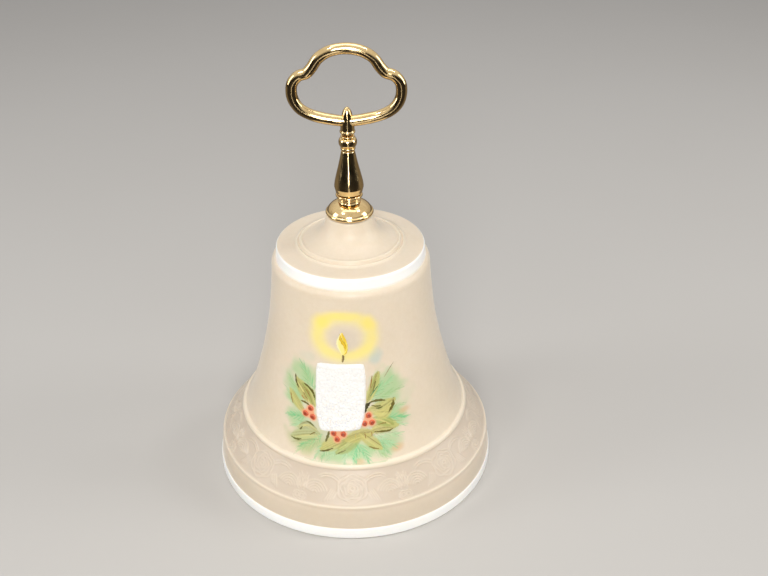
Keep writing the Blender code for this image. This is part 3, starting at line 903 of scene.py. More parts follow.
def surface_point(x, z, lift=0.0):
    """The point of the waist's front at (x, z), lifted square to the axis and the slope."""
    r = surface_radius(z)
    slope = (surface_radius(z + 0.5) - surface_radius(z - 0.5))
    turn = np.arcsin(np.clip(x / r, -0.99, 0.99))
    tilt = np.arctan(-slope)
    out = lift * np.cos(tilt)
    up = lift * np.sin(tilt)
    return np.stack([(r + out) * np.sin(turn), -(r + out) * np.cos(turn), z + up], axis=-1)


WAIST_LINE = smooth_points(WAIST, WAIST_SPACING)


def set_paint(obj, colour, cover):
    """Stores linear colours and their cover on the vertices."""
    layer = obj.data.color_attributes.new("paint", "FLOAT_COLOR", "POINT")
    layer.data.foreach_set("color", np.column_stack([colour, cover]).astype(np.float32).ravel())


def paint_waist(places, colour, cover):
    """Paints the front vertices' colour and cover in place. Returns how far the paint raises each."""
    x, y, z = places.reshape(-1, 3).T / MM
    chosen = np.flatnonzero((y < 0) & (np.abs(x) < PAINT_HALF_WIDTH))
    canvas = paint_front(x[chosen], z[chosen])
    painted = canvas.cover[:, None] > 0.02
    colour[chosen] = np.where(painted, canvas.colour, colour[chosen])
    cover[chosen] = np.maximum(cover[chosen], canvas.cover)
    lift = np.zeros(len(x))
    lift[chosen] = canvas.lift
    return lift.reshape(places.shape[:2])


def within_rim(line):
    """The line, kept from bulging past the rim's own radius."""
    return np.column_stack([np.minimum(line[:, 0], RIM_RADIUS / MM), line[:, 1]])


def crown_ridges(line):
    """Where the two rings on the crown are, from 0 to 1, as the mask of their painted highlight."""
    outer = np.exp(-((line[:, 0] - 17.4) / 0.3) ** 2)
    inner = 0.8 * np.exp(-((line[:, 0] - 19.05) / 0.25) ** 2)
    return (outer + inner) * (line[:, 1] < 95)


def white_bands(line):
    """Where the shoulder band and the rim band are, from 0 to 1."""
    radius, z = line.T
    shoulder = smoothstep(BAND_BOTTOM_Z - 0.1, BAND_BOTTOM_Z + 0.1, z)
    shoulder = shoulder * (1 - smoothstep(BAND_TOP_Z - 0.17, BAND_TOP_Z, z)) * (radius > 25.5)
    rim = (1 - smoothstep(RIM_BAND_TOP_Z, RIM_BAND_TOP_Z + 0.15, z)) * (radius > 49.0)
    return np.maximum(shoulder, rim)


def build_glass():
    """One skin in four stretches, each with its own columns, stitched together."""
    skirt_line = smooth_points(SKIRT, SKIRT_SPACING)
    crown_line = joined(
        straight(CROWN_TOP, 1.8),
        smooth_points(NECK, 0.45),
        smooth_points(CROWN_RINGS, 0.14),
        straight(CROWN_DISC, 1.2),
        smooth_points(CROWN_EDGE, 0.2),
        straight(SHOULDER_BAND, 0.7),
        smooth_points(SHOULDER, 0.25),
    )
    lower_line = joined(
        smooth_points(LOWER_SKIRT, 0.45),
        within_rim(smooth_points(RIM, 0.18)),
        straight(FOOT, 0.9),
        smooth_points(INSIDE, 1.3),
        straight(SEAT, 1.2),
    )
    plain = round_angles(PLAIN_COLUMNS)
    fine = round_angles(SKIRT_COLUMNS)
    waist = waist_angles()

    verts = []
    faces = []
    paints = []
    bands = []
    rings = []
    base = 0
    for line, angles, kind in (
        (crown_line[:-1], plain, "crown"),
        (WAIST_LINE[:-1], waist, "waist"),
        (skirt_line[:-1], fine, "skirt"),
        (lower_line, plain, "lower"),
    ):
        places = ring_positions(line, angles)
        normals = line_normals(line)
        height = np.zeros((len(line), len(angles)))
        if kind != "lower":
            height += bump_ring(line[:, 1], *UPPER_BEAD)[:, None]
        if kind in ("skirt", "lower"):
            height += bump_ring(line[:, 1], *LOWER_BEAD)[:, None]
        # Painted highlight on the ring beads, stronger where the glass stands prouder.
        proud = np.clip(height / 0.35, 0.0, 1.0).ravel()
        colour = np.tile(linear(BEAD_PAINTED_HIGHLIGHT), (height.size, 1))
        cover = BEAD_HIGHLIGHT_COVER * proud
        # Painted highlight on the two rings of the crown.
        if kind == "crown":
            cover = np.maximum(cover, BEAD_HIGHLIGHT_COVER * np.repeat(crown_ridges(line), len(angles)))
        # Painted highlight on the raised lines of the pressed relief.
        if kind == "skirt":
            pressed = skirt_relief(line, angles)
            height += pressed
            cover = np.maximum(cover, RELIEF_HIGHLIGHT_COVER * (pressed / Relief.HEIGHT).ravel())
        if kind == "waist":
            height += paint_waist(places, colour, cover)
        places = places + pushed_out(normals[:, 0][:, None] * height * MM, angles[None, :])
        places[:, :, 2] += normals[:, 1][:, None] * height * MM
        outer_rows = len(line) // 2 if kind == "lower" else len(line)
        white = white_bands(line) * (np.arange(len(line)) < outer_rows)
        verts.append(places.reshape(-1, 3))
        paints.append(np.column_stack([colour, cover]))
        bands.append(np.repeat(white, len(angles)))
        faces += grid_faces(len(line), len(angles), base)
        rings.append((base, len(line), angles))
        base += height.size
    for (start, rows, angles), (below, _, angles_below) in zip(rings[:-1], rings[1:]):
        last = start + (rows - 1) * len(angles)
        upper = list(range(last, last + len(angles)))
        lower = list(range(below, below + len(angles_below)))
        faces += stitch(upper, list(angles), lower, list(angles_below))
    first, _, columns = rings[0]
    start, rows, angles = rings[-1]
    last = start + (rows - 1) * len(angles)
    count = len(angles)
    faces += [(last + j, first + j, first + (j + 1) % count, last + (j + 1) % count) for j in range(count)]

    bell = make_object("opal_glass_bell", np.vstack(verts), faces, GLASS)
    bell.data.set_sharp_from_angle(angle=math.radians(55))
    paint = np.vstack(paints)
    set_paint(bell, paint[:, :3], paint[:, 3])
    band = bell.data.attributes.new("white_band", "FLOAT", "POINT")
    band.data.foreach_set("value", np.concatenate(bands).astype(np.float32))
    return finish_piece(bell, "root", ["glass_bell"])


# ---------------------------------------------------------------- raised paint

class Daubs:
    """Brush marks with a thickness, gathered into one mesh that follows the waist."""

    def __init__(self):
        self.verts = []
        self.faces = []
        self.colours = []
        self.count = 0

    def add(self, x, z, lift, colour, faces):
        points = surface_point(x, z, lift) * MM
        self.verts.append(points)
        self.colours.append(colour)
        self.faces += [tuple(self.count + i for i in face) for face in faces]
        self.count += len(points)

    def stroke(self, points, width, colour, height=0.12, seed=0, streak=0.16):
        """A tapered brush mark: streaks of tone along it, a domed section, and a sunk back."""
        draw = np.random.default_rng(seed)
        line = smooth_points(points, 0.16) if len(points) > 2 else straight(points, 0.16)
        rows = len(line)
        along = np.gradient(line, axis=0)
        along /= np.linalg.norm(along, axis=1)[:, None] + 1e-9
        side = np.column_stack([-along[:, 1], along[:, 0]])
        share = np.linspace(0, 1, rows)
        body = np.sqrt(np.sin(np.pi * np.clip(share * 0.93 + 0.05, 0, 1)))
        half = width / 2 * np.maximum(body, 0.12) * (1 + 0.16 * np.sin(share * 23 + draw.random() * 6))
        across = np.linspace(-1, 1, 7)
        x = line[:, 0][:, None] + side[:, 0][:, None] * half[:, None] * across
        z = line[:, 1][:, None] + side[:, 1][:, None] * half[:, None] * across
        dome = (1 - np.abs(across) ** 2.4)[None, :] * np.maximum(body, 0.1)[:, None]
        lift = height * dome * (0.75 + 0.5 * value_noise(x, z, 3.0, 5)) - 0.03
        tone = linear(colour)[None, None, :] * (1 + streak * draw.normal(0, 1, (1, 7, 1)))
        tone = tone * (1 + 0.12 * (value_noise(x, z, 2.0, 6)[:, :, None] - 0.5))
        tone = np.clip(np.broadcast_to(tone, (rows, 7, 3)), 0.01, 0.98)
        self.add(x.ravel(), z.ravel(), lift.ravel(), tone.reshape(-1, 3), sheet_faces(rows, 7))

    def dome(self, centre, radius, height, colour, edge_colour, seed=0):
        """A berry: a drop of paint, darker at its heart, with a dimple."""
        draw = np.random.default_rng(seed)
        rings = 9
        columns = 28
        share = np.linspace(1.0, 0.08, rings)
        turn = round_angles(columns)
        wobble = 1 + 0.05 * np.sin(3 * turn + draw.random() * 6) + 0.03 * np.sin(5 * turn + 1.0)
        x = centre[0] + radius * share[:, None] * np.cos(turn) * wobble
        z = centre[1] + radius * share[:, None] * np.sin(turn) * wobble
        profile = np.sqrt(np.maximum(1 - share ** 2, 0.0)) - 0.28 * np.exp(-(share / 0.25) ** 2)
        lift = height * profile[:, None] * np.ones(columns) - 0.05
        blend = smoothstep(0.25, 0.95, share)[:, None, None]
        tone = linear(colour) * (1 - blend) + linear(edge_colour) * blend
        tone = tone * (1 + 0.2 * (value_noise(x, z, 4.0, 7)[:, :, None] - 0.5))
        faces = disc_faces(rings, columns) + [tuple(reversed(range(columns)))]
        tone = np.clip(tone, 0.01, 0.98).reshape(-1, 3)
        self.add(x.ravel(), z.ravel(), lift.ravel(), tone, faces)

    def patch(self, left, right, steps, height, colour_of, seed=0, corner=0.12, texture=0.0):
        """A filled shape between two edges that run from its foot to its top."""
        rows, columns = steps
        v = np.linspace(-1, 1, rows)[:, None]
        u = np.linspace(-1, 1, columns)[None, :]
        su = u * (1 - corner * np.abs(v) ** 9)
        sv = v * (1 - corner * 0.7 * np.abs(u) ** 9)
        t = (sv + 1) / 2
        left = np.array(left, float)
        right = np.array(right, float)
        at = np.linspace(0, 1, len(left))
        edge_l = np.stack([np.interp(t, at, left[:, k]) for k in (0, 1)])
        edge_r = np.stack([np.interp(t, at, right[:, k]) for k in (0, 1)])
        share = (su + 1) / 2
        x, z = edge_l * (1 - share) + edge_r * share
        x = x + 0.12 * (value_noise(x, z, 0.8, seed + 1) - 0.5) * np.abs(u) ** 6
        size = np.array([np.ptp(x), np.ptp(z)])
        gap = np.minimum((1 - np.abs(u)) * size[0] / 2, (1 - np.abs(v)) * size[1] / 2)
        rise = np.sqrt(1 - (1 - np.clip(gap / (height * 1.4), 0, 1)) ** 2)
        grain = value_noise(x + 0.4 * z, z - 0.4 * x, 0.9, seed + 2) * 0.35
        grain += value_noise(x, z, 1.9, seed + 3) * 0.35 + value_noise(x, z, 3.4, seed + 4) * 0.3
        lift = (height + texture * (grain - 0.5)) * rise - 0.05
        tone = np.clip(colour_of(x, z, su, t), 0.0, 1.0).reshape(-1, 3)
        self.add(x.ravel(), z.ravel(), lift.ravel(), tone, sheet_faces(rows, columns))

    def build(self, name, material):
        obj = make_object(name, np.vstack(self.verts), self.faces, material)
        colours = np.vstack(self.colours)
        set_paint(obj, colours, np.ones(len(colours)))
        obj.data.set_sharp_from_angle(angle=math.radians(70))
        return finish_piece(obj, "root")


CANDLE_LEFT = ((-11.4, 35.9), (-12.5, 42.0), (-12.6, 48.0), (-12.4, 54.0), (-12.0, 60.9))
CANDLE_RIGHT = ((3.3, 37.1), (4.5, 41.5), (5.1, 48.0), (5.2, 54.0), (5.0, 61.4))
CANDLE_THICKNESS = 0.8
CANDLE_TEXTURE = 0.42


def candle_tone(x, z, u, v):
    """Thick white, a little greyer in its pits, with cool and warm specks low down."""
    pits = value_noise(x, z, 1.9, 41)[:, :, None]
    tone = linear((250, 249, 245)) * (1 - 0.5 * pits) + linear((232, 230, 226)) * 0.5 * pits
    low = 0.35 + 0.65 * smoothstep(0.75, 0.15, v)[:, :, None]
    cool = smoothstep(0.68, 0.80, value_noise(x, z, 2.7, 44))[:, :, None] * low
    warm = smoothstep(0.80, 0.90, value_noise(x, z, 2.3, 45))[:, :, None] * low
    tone = tone * (1 - 0.5 * cool) + linear((205, 208, 222)) * 0.5 * cool
    return tone * (1 - 0.4 * warm) + linear((232, 206, 178)) * 0.4 * warm


def build_candle():
    daubs = Daubs()
    daubs.patch(
        CANDLE_LEFT, CANDLE_RIGHT, (150, 100), CANDLE_THICKNESS,
        candle_tone, 40, 0.055, CANDLE_TEXTURE,
    )
    return daubs.build("candle_paint", WHITE_ENAMEL)


def flame_tone(x, z, u, v):
    pale = linear((253, 236, 140))
    deep = linear((236, 200, 48))
    white = linear((255, 248, 205))
    ragged = 0.4 * (value_noise(x, z, 1.2, 14) - 0.5)
    right = smoothstep(-0.1, 0.6, u + 0.5 * (v - 0.5) + ragged)[:, :, None]
    left = smoothstep(-0.45, -0.9, u)[:, :, None]
    tone = pale * (1 - right) + deep * right
    return tone * (1 - 0.6 * left) + white * 0.6 * left


FLAME_LEFT = ((-2.9, 64.5), (-3.5, 65.8), (-4.4, 67.3), (-4.75, 68.8), (-4.5, 70.3), (-3.9, 71.8),
              (-3.0, 73.2))
FLAME_RIGHT = ((-2.4, 64.4), (-1.3, 65.3), (-0.75, 66.8), (-0.8, 68.6), (-1.3, 70.3), (-1.9, 71.8),
               (-2.6, 73.2))


def build_flame():
    daubs = Daubs()
    daubs.patch(FLAME_LEFT, FLAME_RIGHT, (70, 30), 0.22, flame_tone, 60, 0.03, 0.12)
    amber = ((-3.2, 72.6), (-3.3, 71.2), (-2.6, 69.6), (-1.7, 68.0), (-2.0, 66.2))
    daubs.stroke(amber, 1.6, (229, 190, 20), 0.34, 61)
    daubs.stroke(((-3.5, 65.9), (-4.3, 67.8), (-4.2, 69.8)), 0.6, (255, 246, 196), 0.3, 62)
    daubs.stroke(((-2.4, 65.0), (-1.2, 66.6), (-1.1, 68.6), (-1.7, 70.6)), 0.5, (250, 226, 110), 0.36, 63)
    return daubs.build("flame_paint", COLOUR_ENAMEL)


def build_wick():
    daubs = Daubs()
    daubs.stroke(((-2.75, 61.9), (-2.5, 63.4), (-2.5, 65.2)), 0.8, (128, 108, 62), 0.36, 64)
    daubs.stroke(((-3.0, 62.0), (-2.8, 63.4), (-2.75, 64.6)), 0.32, (182, 166, 108), 0.44, 65)
    return daubs.build("wick_paint", COLOUR_ENAMEL)


def build_berries():
    daubs = Daubs()
    number = 0
    for cluster in BERRY_CLUSTERS:
        for berry in cluster:
            daubs.dome(berry, 1.05, 0.62, (158, 60, 30), (224, 108, 66), 70 + number)
            number += 1
    return daubs.build("berry_paint", COLOUR_ENAMEL)


def build_leaf_strokes():
    daubs = Daubs()
    for k, (points, width, colour) in enumerate(DARK_STROKES):
        daubs.stroke(points, width * 1.3, np.array(colour) + STROKE_WARMTH, 0.1, 80 + k)
    return daubs.build("leaf_strokes", COLOUR_ENAMEL)


# ---------------------------------------------------------------- the gilt handle

LOOP_HALF = [
    (0.0, 163.3), (5.2, 162.4), (9.0, 160.0), (11.2, 156.9), (12.9, 155.1), (15.6, 154.1), (17.6, 151.8),
    (18.1, 148.7), (17.4, 145.5), (15.4, 142.7), (11.7, 140.6), (6.0, 139.1), (0.0, 138.4),
]
LOOP_BAR_RADIUS = 1.88
BORE = 1.5
ROD_RADIUS = 1.2
THREAD_DEPTH = 0.13
THREAD_PITCH = 0.5


def bored(outside):
    """Closes a turned outside round the rod's bore."""
    top = outside[0][1]
    bottom = outside[-1][1]
    bore = straight([(BORE, bottom), (BORE, top)], 0.8)
    return joined(outside, bore, [outside[0]])[:-1]


def finish_gilt(piece, node):
    return finish_piece(facing_out(piece), "root", [node])


def build_loop():
    ring = LOOP_HALF + [(-x, z) for x, z in reversed(LOOP_HALF[1:-1])]
    line = smooth_points(ring, 0.22, closed=True)
    path = np.column_stack([line[:, 0], np.zeros(len(line)), line[:, 1]])
    run = np.arange(len(line)) * TAU / len(line)
    radii = LOOP_BAR_RADIUS * (1 + 0.008 * np.sin(7 * run + 0.6) + 0.006 * np.sin(17 * run))
    loop = swept_mesh("gilt_loop", path, radii, 40, GILT)
    return finish_gilt(loop, "loop_handle")


def build_lug():
    point = smooth_points([
        (0.0, 143.4), (0.5, 143.25), (0.95, 142.8), (1.45, 141.8), (1.95, 139.6), (2.25, 137.3),
        (2.4, 135.7),
    ], 0.2)
    lip = smooth_points([
        (2.4, 135.7), (2.38, 135.35), (2.42, 135.2), (2.62, 134.95), (2.66, 134.6), (2.45, 134.3),
        (2.05, 134.2),
    ], 0.09)
    neck = straight([(2.05, 134.2), (1.95, 133.75), (1.75, 133.7)], 0.25)
    spigot = straight([(1.2, 133.7), (1.2, 131.6), (0.0, 131.6)], 0.5)
    return finish_gilt(turned_mesh("gilt_lug", joined(point, lip, neck, spigot), 96, GILT), "loop_handle")


def gilt_turning(name, node, *outside):
    return finish_gilt(turned_mesh(name, bored(joined(*outside)), 120, GILT), node)


def build_neck_bead():
    return gilt_turning(
        "gilt_neck_bead", "neck_bead",
        straight([(1.7, 133.4), (2.0, 133.4)], 0.2),
        smooth_points([(2.0, 133.4), (2.3, 133.3), (2.42, 133.05), (2.3, 132.8), (2.12, 132.7)], 0.08),
        smooth_points([
            (2.12, 132.7), (2.7, 132.35), (3.05, 131.7), (3.15, 130.95), (3.0, 130.1),
            (2.6, 129.45), (2.2, 129.15),
        ], 0.13),
        smooth_points([(2.2, 129.15), (2.45, 129.05), (2.58, 128.75), (2.5, 128.4), (2.25, 128.2)], 0.08),
    )


def build_baluster():
    return gilt_turning(
        "gilt_baluster", "handle_baluster",
        smooth_points([(1.9, 127.9), (2.2, 127.88), (2.35, 127.6)], 0.12),
        smooth_points([
            (2.35, 127.6), (2.6, 126.4), (3.05, 124.2), (3.65, 121.6), (4.3, 119.0), (4.8, 116.8),
            (5.05, 115.2),
            (5.08, 114.5),
        ], 0.22),
        smooth_points([(5.08, 114.5), (5.02, 114.25), (4.85, 113.6), (4.65, 112.7)], 0.15),
        smooth_points([(4.65, 112.7), (4.5, 112.3), (4.1, 112.12), (3.4, 112.1)], 0.12),
    )


def build_collar():
    return gilt_turning(
        "gilt_collar", "ring_collar",
        straight([(3.4, 111.8), (4.1, 111.8)], 0.35),
        smooth_points([
            (4.1, 111.8), (4.55, 111.65), (4.72, 111.3), (4.6, 110.95), (4.3, 110.78), (3.9, 110.7),
        ], 0.09),
        smooth_points([
            (3.9, 110.7), (3.7, 110.45), (3.72, 110.2), (3.95, 110.0), (4.02, 109.82), (3.9, 109.62),
            (3.68, 109.48), (3.68, 109.28), (3.88, 109.08), (3.98, 108.9),
        ], 0.08),
    )


def build_foot():
    dome = smooth_points([
        (3.7, 108.6), (4.1, 108.55), (5.0, 108.25), (6.1, 107.65), (7.0, 106.9), (7.6, 106.1),
        (7.85, 105.55),
    ], 0.2)
    rolled = smooth_points([
        (7.85, 105.55), (8.15, 105.4), (8.38, 105.0), (8.32, 104.5), (8.0, 104.2), (7.7, 104.12),
    ], 0.1)
    hollow = straight([(7.7, 104.12), (7.4, 105.8), (BORE, 105.9)], 0.6)
    bore = straight([(BORE, 105.9), (BORE, 108.6), (3.7, 108.6)], 0.7)
    foot = turned_mesh("gilt_foot", joined(dome, rolled, hollow, bore)[:-1], 144, GILT)
    return finish_gilt(foot, "foot_flange")


# ---------------------------------------------------------------- the fixings inside

def threaded(low, high, radius, depth):
    """A relief that cuts a screw thread between two heights of a turned rod."""

    def relief(profile, angles):
        z = profile[:, 1][:, None]
        turn = TAU * z / THREAD_PITCH - angles[None, :]
        wave = (np.cos(turn) - 1) * 0.5 * depth
        window = smoothstep(low, low + 0.4, z) * (1 - smoothstep(high - 0.4, high, z))
        change = wave * window * (np.abs(profile[:, 0] - radius) < 0.06)[:, None] * MM
        return pushed_out(change, angles)

    return relief


def build_rod():
    low = 87.5
    high = 131.2
    chamfer = 0.25
    top = [(0.0, high), (ROD_RADIUS - chamfer, high), (ROD_RADIUS, high - chamfer)]
    side = straight([(ROD_RADIUS, high - chamfer), (ROD_RADIUS, low + chamfer)], 0.09)
    foot = [(ROD_RADIUS - chamfer, low), (0.0, low)]
    lower_thread = threaded(low, 98.0, ROD_RADIUS, THREAD_DEPTH)
    upper_thread = threaded(122.0, high, ROD_RADIUS, THREAD_DEPTH)

    def threads(line, angles):
        return lower_thread(line, angles) + upper_thread(line, angles)

    rod = turned_mesh("threaded_rod", joined(top, side, foot), 36, STEEL, threads)
    return finish_piece(facing_out(rod), "root", ["tie_rod"])


def build_crown_gasket():
    flange = smooth_points([(6.7, 105.55), (6.92, 105.45), (7.0, 105.2), (7.0, 104.5), (6.9, 104.15)], 0.12)
    under = straight([(6.9, 104.1), (2.5, 104.1), (2.5, 100.3), (2.3, 100.0), (BORE, 100.0)], 0.4)
    bore = straight([(BORE, 100.0), (BORE, 105.6), (6.7, 105.55)], 0.6)
    piece = turned_mesh("crown_gasket_soft", joined(flange, under, bore)[:-1], 96, SOFT)
    return finish_piece(facing_out(piece), "root", ["crown_gasket"])


def build_washer(name, node, top, thickness, radius, material, edge):
    """A stamped washer: one face rolled over, the other with a burr."""
    corner = [(radius - edge, top), (radius - 0.25 * edge, top - 0.25 * edge), (radius, top - edge)]
    outside = joined(
        straight([(BORE + 0.2, top), (radius - edge, top)], 0.5),
        smooth_points(corner, 0.08),
        straight([(radius, top - edge), (radius, top - thickness + 0.05)], 0.3),
        straight([(radius - 0.05, top - thickness), (BORE + 0.15, top - thickness)], 0.5),
    )
    hole = straight([(BORE, top - thickness + 0.1), (BORE, top - 0.15)], 0.3)

    def waviness(profile, angles):
        out = np.clip(profile[:, 0] / radius, 0, 1)[:, None] ** 2
        change = -0.02 * out * (1 + np.sin(3 * angles + 0.7)[None, :]) * MM
        change = np.broadcast_to(change, (len(profile), len(angles))) * (profile[:, 1] > top - 0.4)[:, None]
        return np.stack([0 * change, 0 * change, change], axis=2)

    piece = turned_mesh(name, joined(outside, hole), 96, material, waviness)
    return finish_piece(facing_out(piece), "root", [node])


NUT_TOP = 92.3
NUT_HEIGHT = 2.3
NUT_FLATS = 5.5
NUT_COLUMNS = 180


def build_nut():
    """A hexagon with chamfered corners on both faces, and a threaded hole."""
    angles = round_angles(NUT_COLUMNS)
    hexagon = NUT_FLATS / 2 / np.cos(np.mod(angles, TAU / 6) - TAU / 12)
    face = NUT_FLATS / 2 * 1.02
    mouth = BORE + 0.12
    rows = []
    for share in np.linspace(0.0, 1.0, 6):
        rows.append((mouth + (face - mouth) * share + 0 * angles, NUT_TOP + 0 * angles))
    edge = np.linspace(0.03, 0.5, 10)
    middle = np.linspace(0.7, NUT_HEIGHT - 0.7, 5)
    for down in np.concatenate([edge, middle, NUT_HEIGHT - edge[::-1]]):
        depth = min(down, NUT_HEIGHT - down)
        rows.append((np.minimum(hexagon, face + depth * 1.75), NUT_TOP - down + 0 * angles))
    for share in np.linspace(1.0, 0.0, 6):
        rows.append((mouth + (face - mouth) * share + 0 * angles, NUT_TOP - NUT_HEIGHT + 0 * angles))
    for down in np.linspace(NUT_HEIGHT - 0.12, 0.12, 24):
        wave = 0.1 * (0.5 - 0.5 * np.cos(TAU * (NUT_TOP - down) / THREAD_PITCH - angles))
        rows.append((BORE - wave * 0.9, NUT_TOP - down + 0 * angles))
    r = np.array([row[0] for row in rows]) * MM
    z = np.array([row[1] for row in rows]) * MM
    verts = np.stack([r * np.sin(angles), -r * np.cos(angles), z], axis=2).reshape(-1, 3)
    faces = grid_faces(len(rows), NUT_COLUMNS) + closing_faces(len(rows), NUT_COLUMNS)
    nut = make_object("hex_lock_nut", verts, faces, STEEL)
    nut.data.set_sharp_from_angle(angle=math.radians(28))
    return finish_piece(facing_out(nut), "root", ["lock_nut"])


# ---------------------------------------------------------------- chain and clapper

WIRE_RADIUS = 0.6
LINK_COUNT = 6
HINGE_TOP = 80.0
LINK_PITCH = 7.0
LINK_END = 1.7
LINK_DROP = 0.2
LINK_STRAIGHT = LINK_PITCH - LINK_END - LINK_DROP


def in_plane(line, across_y):
    """A line of (side, z) points placed in the YZ plane or the XZ plane."""
    zero = np.zeros(len(line))
    return np.column_stack([zero, line[:, 0], line[:, 1]] if across_y else [line[:, 0], zero, line[:, 1]])


def circle(height, radius, start, count):
    """Points of a full circle about (0, height), from the start angle in degrees."""
    turn = np.radians(np.linspace(0, 360, count, endpoint=False) + start)
    return np.column_stack([radius * np.cos(turn), height + radius * np.sin(turn)])


def wire_ring(name, line, across_y, seam):
    """A closed wire, a little flattened by the pliers where its ends meet."""
    path = in_plane(line, across_y)
    run = run_along(path)
    away = np.abs(run - seam * run[-1])
    radii = WIRE_RADIUS * (1 - 0.09 * np.exp(-(away / 0.12) ** 2)) * (0.985 + 0.012 * np.sin(run * 2.1))
    axis = (1.0, 0.0, 0.0) if across_y else (0.0, 1.0, 0.0)
    return facing_out(swept_mesh(name, path, radii, 20, WIRE, axis))


def build_links():
    for number in range(1, LINK_COUNT + 1):
        hinge = HINGE_TOP - LINK_PITCH * (number - 1)
        top_z = hinge - LINK_DROP
        top = arc((0.0, top_z), LINK_END, 0, 180, 26)
        bottom = arc((0.0, top_z - LINK_STRAIGHT), LINK_END, 180, 360, 26)
        left = straight([(-LINK_END, top_z), (-LINK_END, top_z - LINK_STRAIGHT)], 0.22)
        right = straight([(LINK_END, top_z - LINK_STRAIGHT), (LINK_END, top_z)], 0.22)
        line = joined(top, left, bottom, right)[:-1]
        link = wire_ring(f"wire_link_{number}", line, number % 2 == 1, 0.36)
        finish_piece(link, f"link_{number}", [f"chain_link_{number}"])


def build_hanger():
    top = 89.7
    bottom = 83.6
    outer = 2.1
    outside = joined(
        smooth_points([(1.65, top), (1.9, top - 0.05), (2.05, top - 0.2), (outer, top - 0.4)], 0.1),
        straight([(outer, top - 0.4), (outer, bottom + 1.2)], 0.12),
        smooth_points([
            (outer, bottom + 1.2), (1.95, bottom + 0.7), (1.6, bottom + 0.25), (1.1, bottom),
            (0.6, bottom - 0.02),
            (0.0, bottom - 0.02),
        ], 0.12),
    )
    socket_top = straight([(0.0, 87.2), (1.5, 87.2), (1.5, top - 0.15)], 0.4)

    def knurl(profile, angles):
        z = profile[:, 1][:, None]
        grip = np.abs(np.sin(angles * 9 + z * 2.6)) + np.abs(np.sin(angles * 9 - z * 2.6))
        window = smoothstep(bottom + 1.5, bottom + 1.8, z) * (1 - smoothstep(top - 1.0, top - 0.7, z))
        change = -0.07 * (1 - np.clip(grip / 1.2, 0, 1)) * window * (profile[:, 0] > 2.0)[:, None] * MM
        return pushed_out(change, angles)

    ferrule = turned_mesh("hanger_ferrule", joined(socket_top, outside), 144, WIRE, knurl)
    finish_piece(facing_out(ferrule), "root", ["hanger_eye"])
    eye = wire_ring("hanger_eye_wire", circle(82.0, 2.0, 90, 60), False, 0.5)
    finish_piece(eye, "root", ["hanger_eye"])


def build_clapper():
    centre = HINGE_TOP - LINK_PITCH * LINK_COUNT - LINK_DROP
    ring = wire_ring("clapper_hook_ring", circle(centre, LINK_END, -90, 56), True, 0.12)
    finish_piece(ring, "clapper", ["clapper_hook"])

    shank_top = centre - LINK_END + 0.2
    boss_top = 31.5
    shank_bottom = boss_top - 4.5
    shank_line = joined(
        smooth_points([
            (0.0, shank_top + 0.3), (0.45, shank_top + 0.2), (0.62, shank_top - 0.3),
            (0.6, shank_top - 0.9),
        ], 0.12),
        straight([
            (0.6, shank_top - 0.9), (0.6, shank_bottom + 0.1), (0.5, shank_bottom), (0.0, shank_bottom),
        ], 0.25),
    )
    shank = turned_mesh("clapper_shank", shank_line, 32, WIRE)
    finish_piece(facing_out(shank), "clapper", ["clapper_hook"])

    radius = 7.5
    middle = 23.0
    start = math.degrees(math.acos(2.0 / radius))
    surface = arc((0.0, middle), radius, start, -90, 90)
    surface[-1, 0] = 0.0
    seam = 0.05 * np.exp(-((surface[:, 1] - middle) / 0.22) ** 2)
    out = (surface - [0.0, middle]) / radius
    surface = surface - out * seam[:, None]
    boss = smooth_points([
        (0.9, boss_top), (1.5, boss_top), (1.85, boss_top - 0.15), (1.95, boss_top - 0.5),
    ], 0.1)
    fillet = smooth_points([(1.95, boss_top - 0.5), (1.97, boss_top - 0.9), (2.0, surface[0, 1])], 0.12)
    hole = straight([(0.0, shank_bottom - 0.3), (0.9, shank_bottom - 0.3), (0.9, boss_top)], 0.3)
    ball = turned_mesh("brass_ball", joined(hole, boss, fillet, surface), 120, WIRE)
    finish_piece(facing_out(ball), "clapper", ["clapper_ball"])


# ---------------------------------------------------------------- the studio

CAMERA_LENS = 49.43
CAMERA_PLACE = (0.0118, -0.3283, 0.2746)
CAMERA_TILT = math.radians(58.45)
CAMERA_ROLL = math.radians(-0.457)


def build_floor():
    """A wide level floor, made of rings that widen outwards."""
    columns = 96
    angles = round_angles(columns)
    radii = np.concatenate([np.linspace(0.05, 0.6, 12), np.geomspace(0.7, 6.0, 14)])
    verts = [(r * math.cos(a), r * math.sin(a), 0.0) for r in radii for a in angles]
    faces = [tuple(range(columns))] + grid_faces(len(radii), columns)
    floor = make_object("studio_floor", verts, faces, floor_material())
    return floor


def area_light(name, place, target, size, power, colour=(1.0, 1.0, 1.0), shape="RECTANGLE"):
    light = bpy.data.lights.new(name, "AREA")
    light.shape = shape
    light.size = size[0]
    if shape == "RECTANGLE":
        light.size_y = size[1]
    light.energy = power
    light.color = colour
    obj = bpy.data.objects.new(name, light)
    obj.visible_camera = False
    obj.location = place
    obj.rotation_euler = (Vector(target) - Vector(place)).to_track_quat("-Z", "Y").to_euler()
    bpy.context.scene.collection.objects.link(obj)
    return obj


def reflected_room(tree):
    """What polished metal mirrors: bright overhead, mid-toned behind, and dark low in front."""
    direction = tree.nodes.new("ShaderNodeSeparateXYZ")
    generated = add_node(tree, "ShaderNodeTexCoord").outputs["Generated"]
    tree.links.new(generated, direction.inputs["Vector"])
    behind = ranged(tree, direction.outputs["Y"], -0.35, 0.45, 0.0, 1.0)
    wall = mixed(tree, behind, (0.008, 0.007, 0.006), (0.50, 0.46, 0.40))
    above = ranged(tree, direction.outputs["Z"], 0.16, 0.5, 0.0, 1.0)
    return mixed(tree, above, wall, (0.74, 0.72, 0.69))


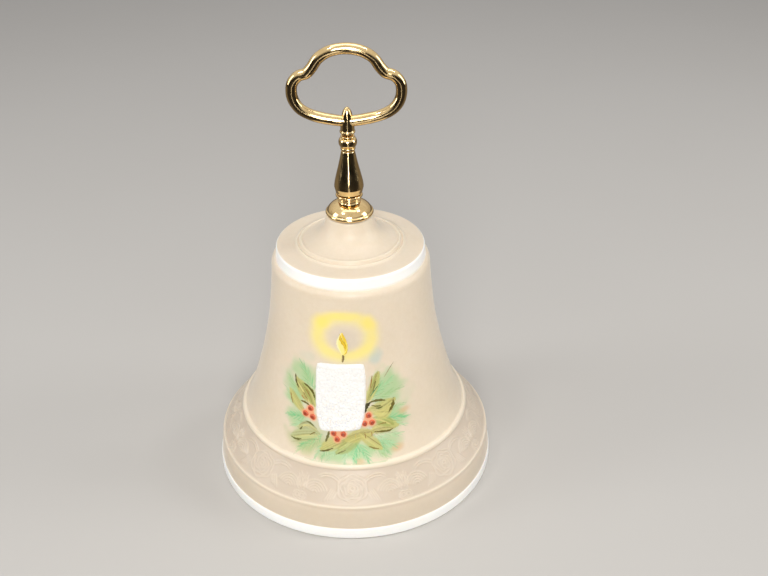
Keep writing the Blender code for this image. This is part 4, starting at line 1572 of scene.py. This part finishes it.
def build_world():
    """A pale backdrop to look at, an even fill on matt surfaces, and a darker room in reflections."""
    world = bpy.data.worlds.new("studio_world")
    world.use_nodes = True
    tree = world.node_tree
    light_path = tree.nodes.new("ShaderNodeLightPath")
    seen = mixed(tree, light_path.outputs["Is Glossy Ray"], (0.30, 0.30, 0.31), reflected_room(tree))
    seen = mixed(tree, light_path.outputs["Is Camera Ray"], seen, BACKDROP)
    tree.links.new(seen, tree.nodes["Background"].inputs["Color"])
    bpy.context.scene.world = world


def build_lights():
    middle = (0.0, 0.0, 0.08)
    stem = (0.0, 0.0, 0.12)
    area_light("key", (-0.02, -0.74, 0.40), middle, (0.30, 0.30), 3.2, (1.0, 0.98, 0.95), "DISK")
    area_light("front_strip", (0.028, -0.9, 0.30), stem, (0.035, 0.5), 0.8)
    area_light("left_side", (-0.75, -0.15, 0.35), middle, (0.25, 0.5), 1.5)
    area_light("right_side", (0.75, -0.05, 0.35), middle, (0.25, 0.5), 1.6)
    area_light("overhead", (0.0, 0.15, 0.95), middle, (0.7, 0.5), 2.2)
    area_light("high_left", (-0.35, -0.25, 0.85), middle, (0.12, 0.12), 0.7, shape="DISK")
    area_light("high_right", (0.40, 0.05, 0.85), middle, (0.12, 0.12), 0.7, shape="DISK")


def build_camera():
    data = bpy.data.cameras.new("view_camera")
    data.lens = CAMERA_LENS
    data.sensor_width = 36.0
    data.clip_start = 0.01
    camera = bpy.data.objects.new("view_camera", data)
    tilt = Matrix.Rotation(CAMERA_TILT, 4, "X") @ Matrix.Rotation(CAMERA_ROLL, 4, "Z")
    camera.matrix_world = Matrix.Translation(CAMERA_PLACE) @ tilt
    bpy.context.scene.collection.objects.link(camera)
    bpy.context.scene.camera = camera


def build():
    for build_part in (
        build_glass, build_candle, build_flame, build_wick, build_berries, build_leaf_strokes,
        build_loop, build_lug, build_neck_bead, build_baluster, build_collar, build_foot,
        build_rod, build_crown_gasket,
    ):
        build_part()
    build_washer("soft_inner_washer", "inner_gasket", 95.2, 1.3, 6.6, SOFT, 0.3)
    build_washer("steel_washer", "inner_washer", 93.6, 1.0, 6.0, STEEL, 0.25)
    for build_part in (
        build_nut, build_hanger, build_links, build_clapper,
        build_floor, build_world, build_lights, build_camera,
    ):
        build_part()
    bpy.context.scene.view_settings.view_transform = "Standard"


build()
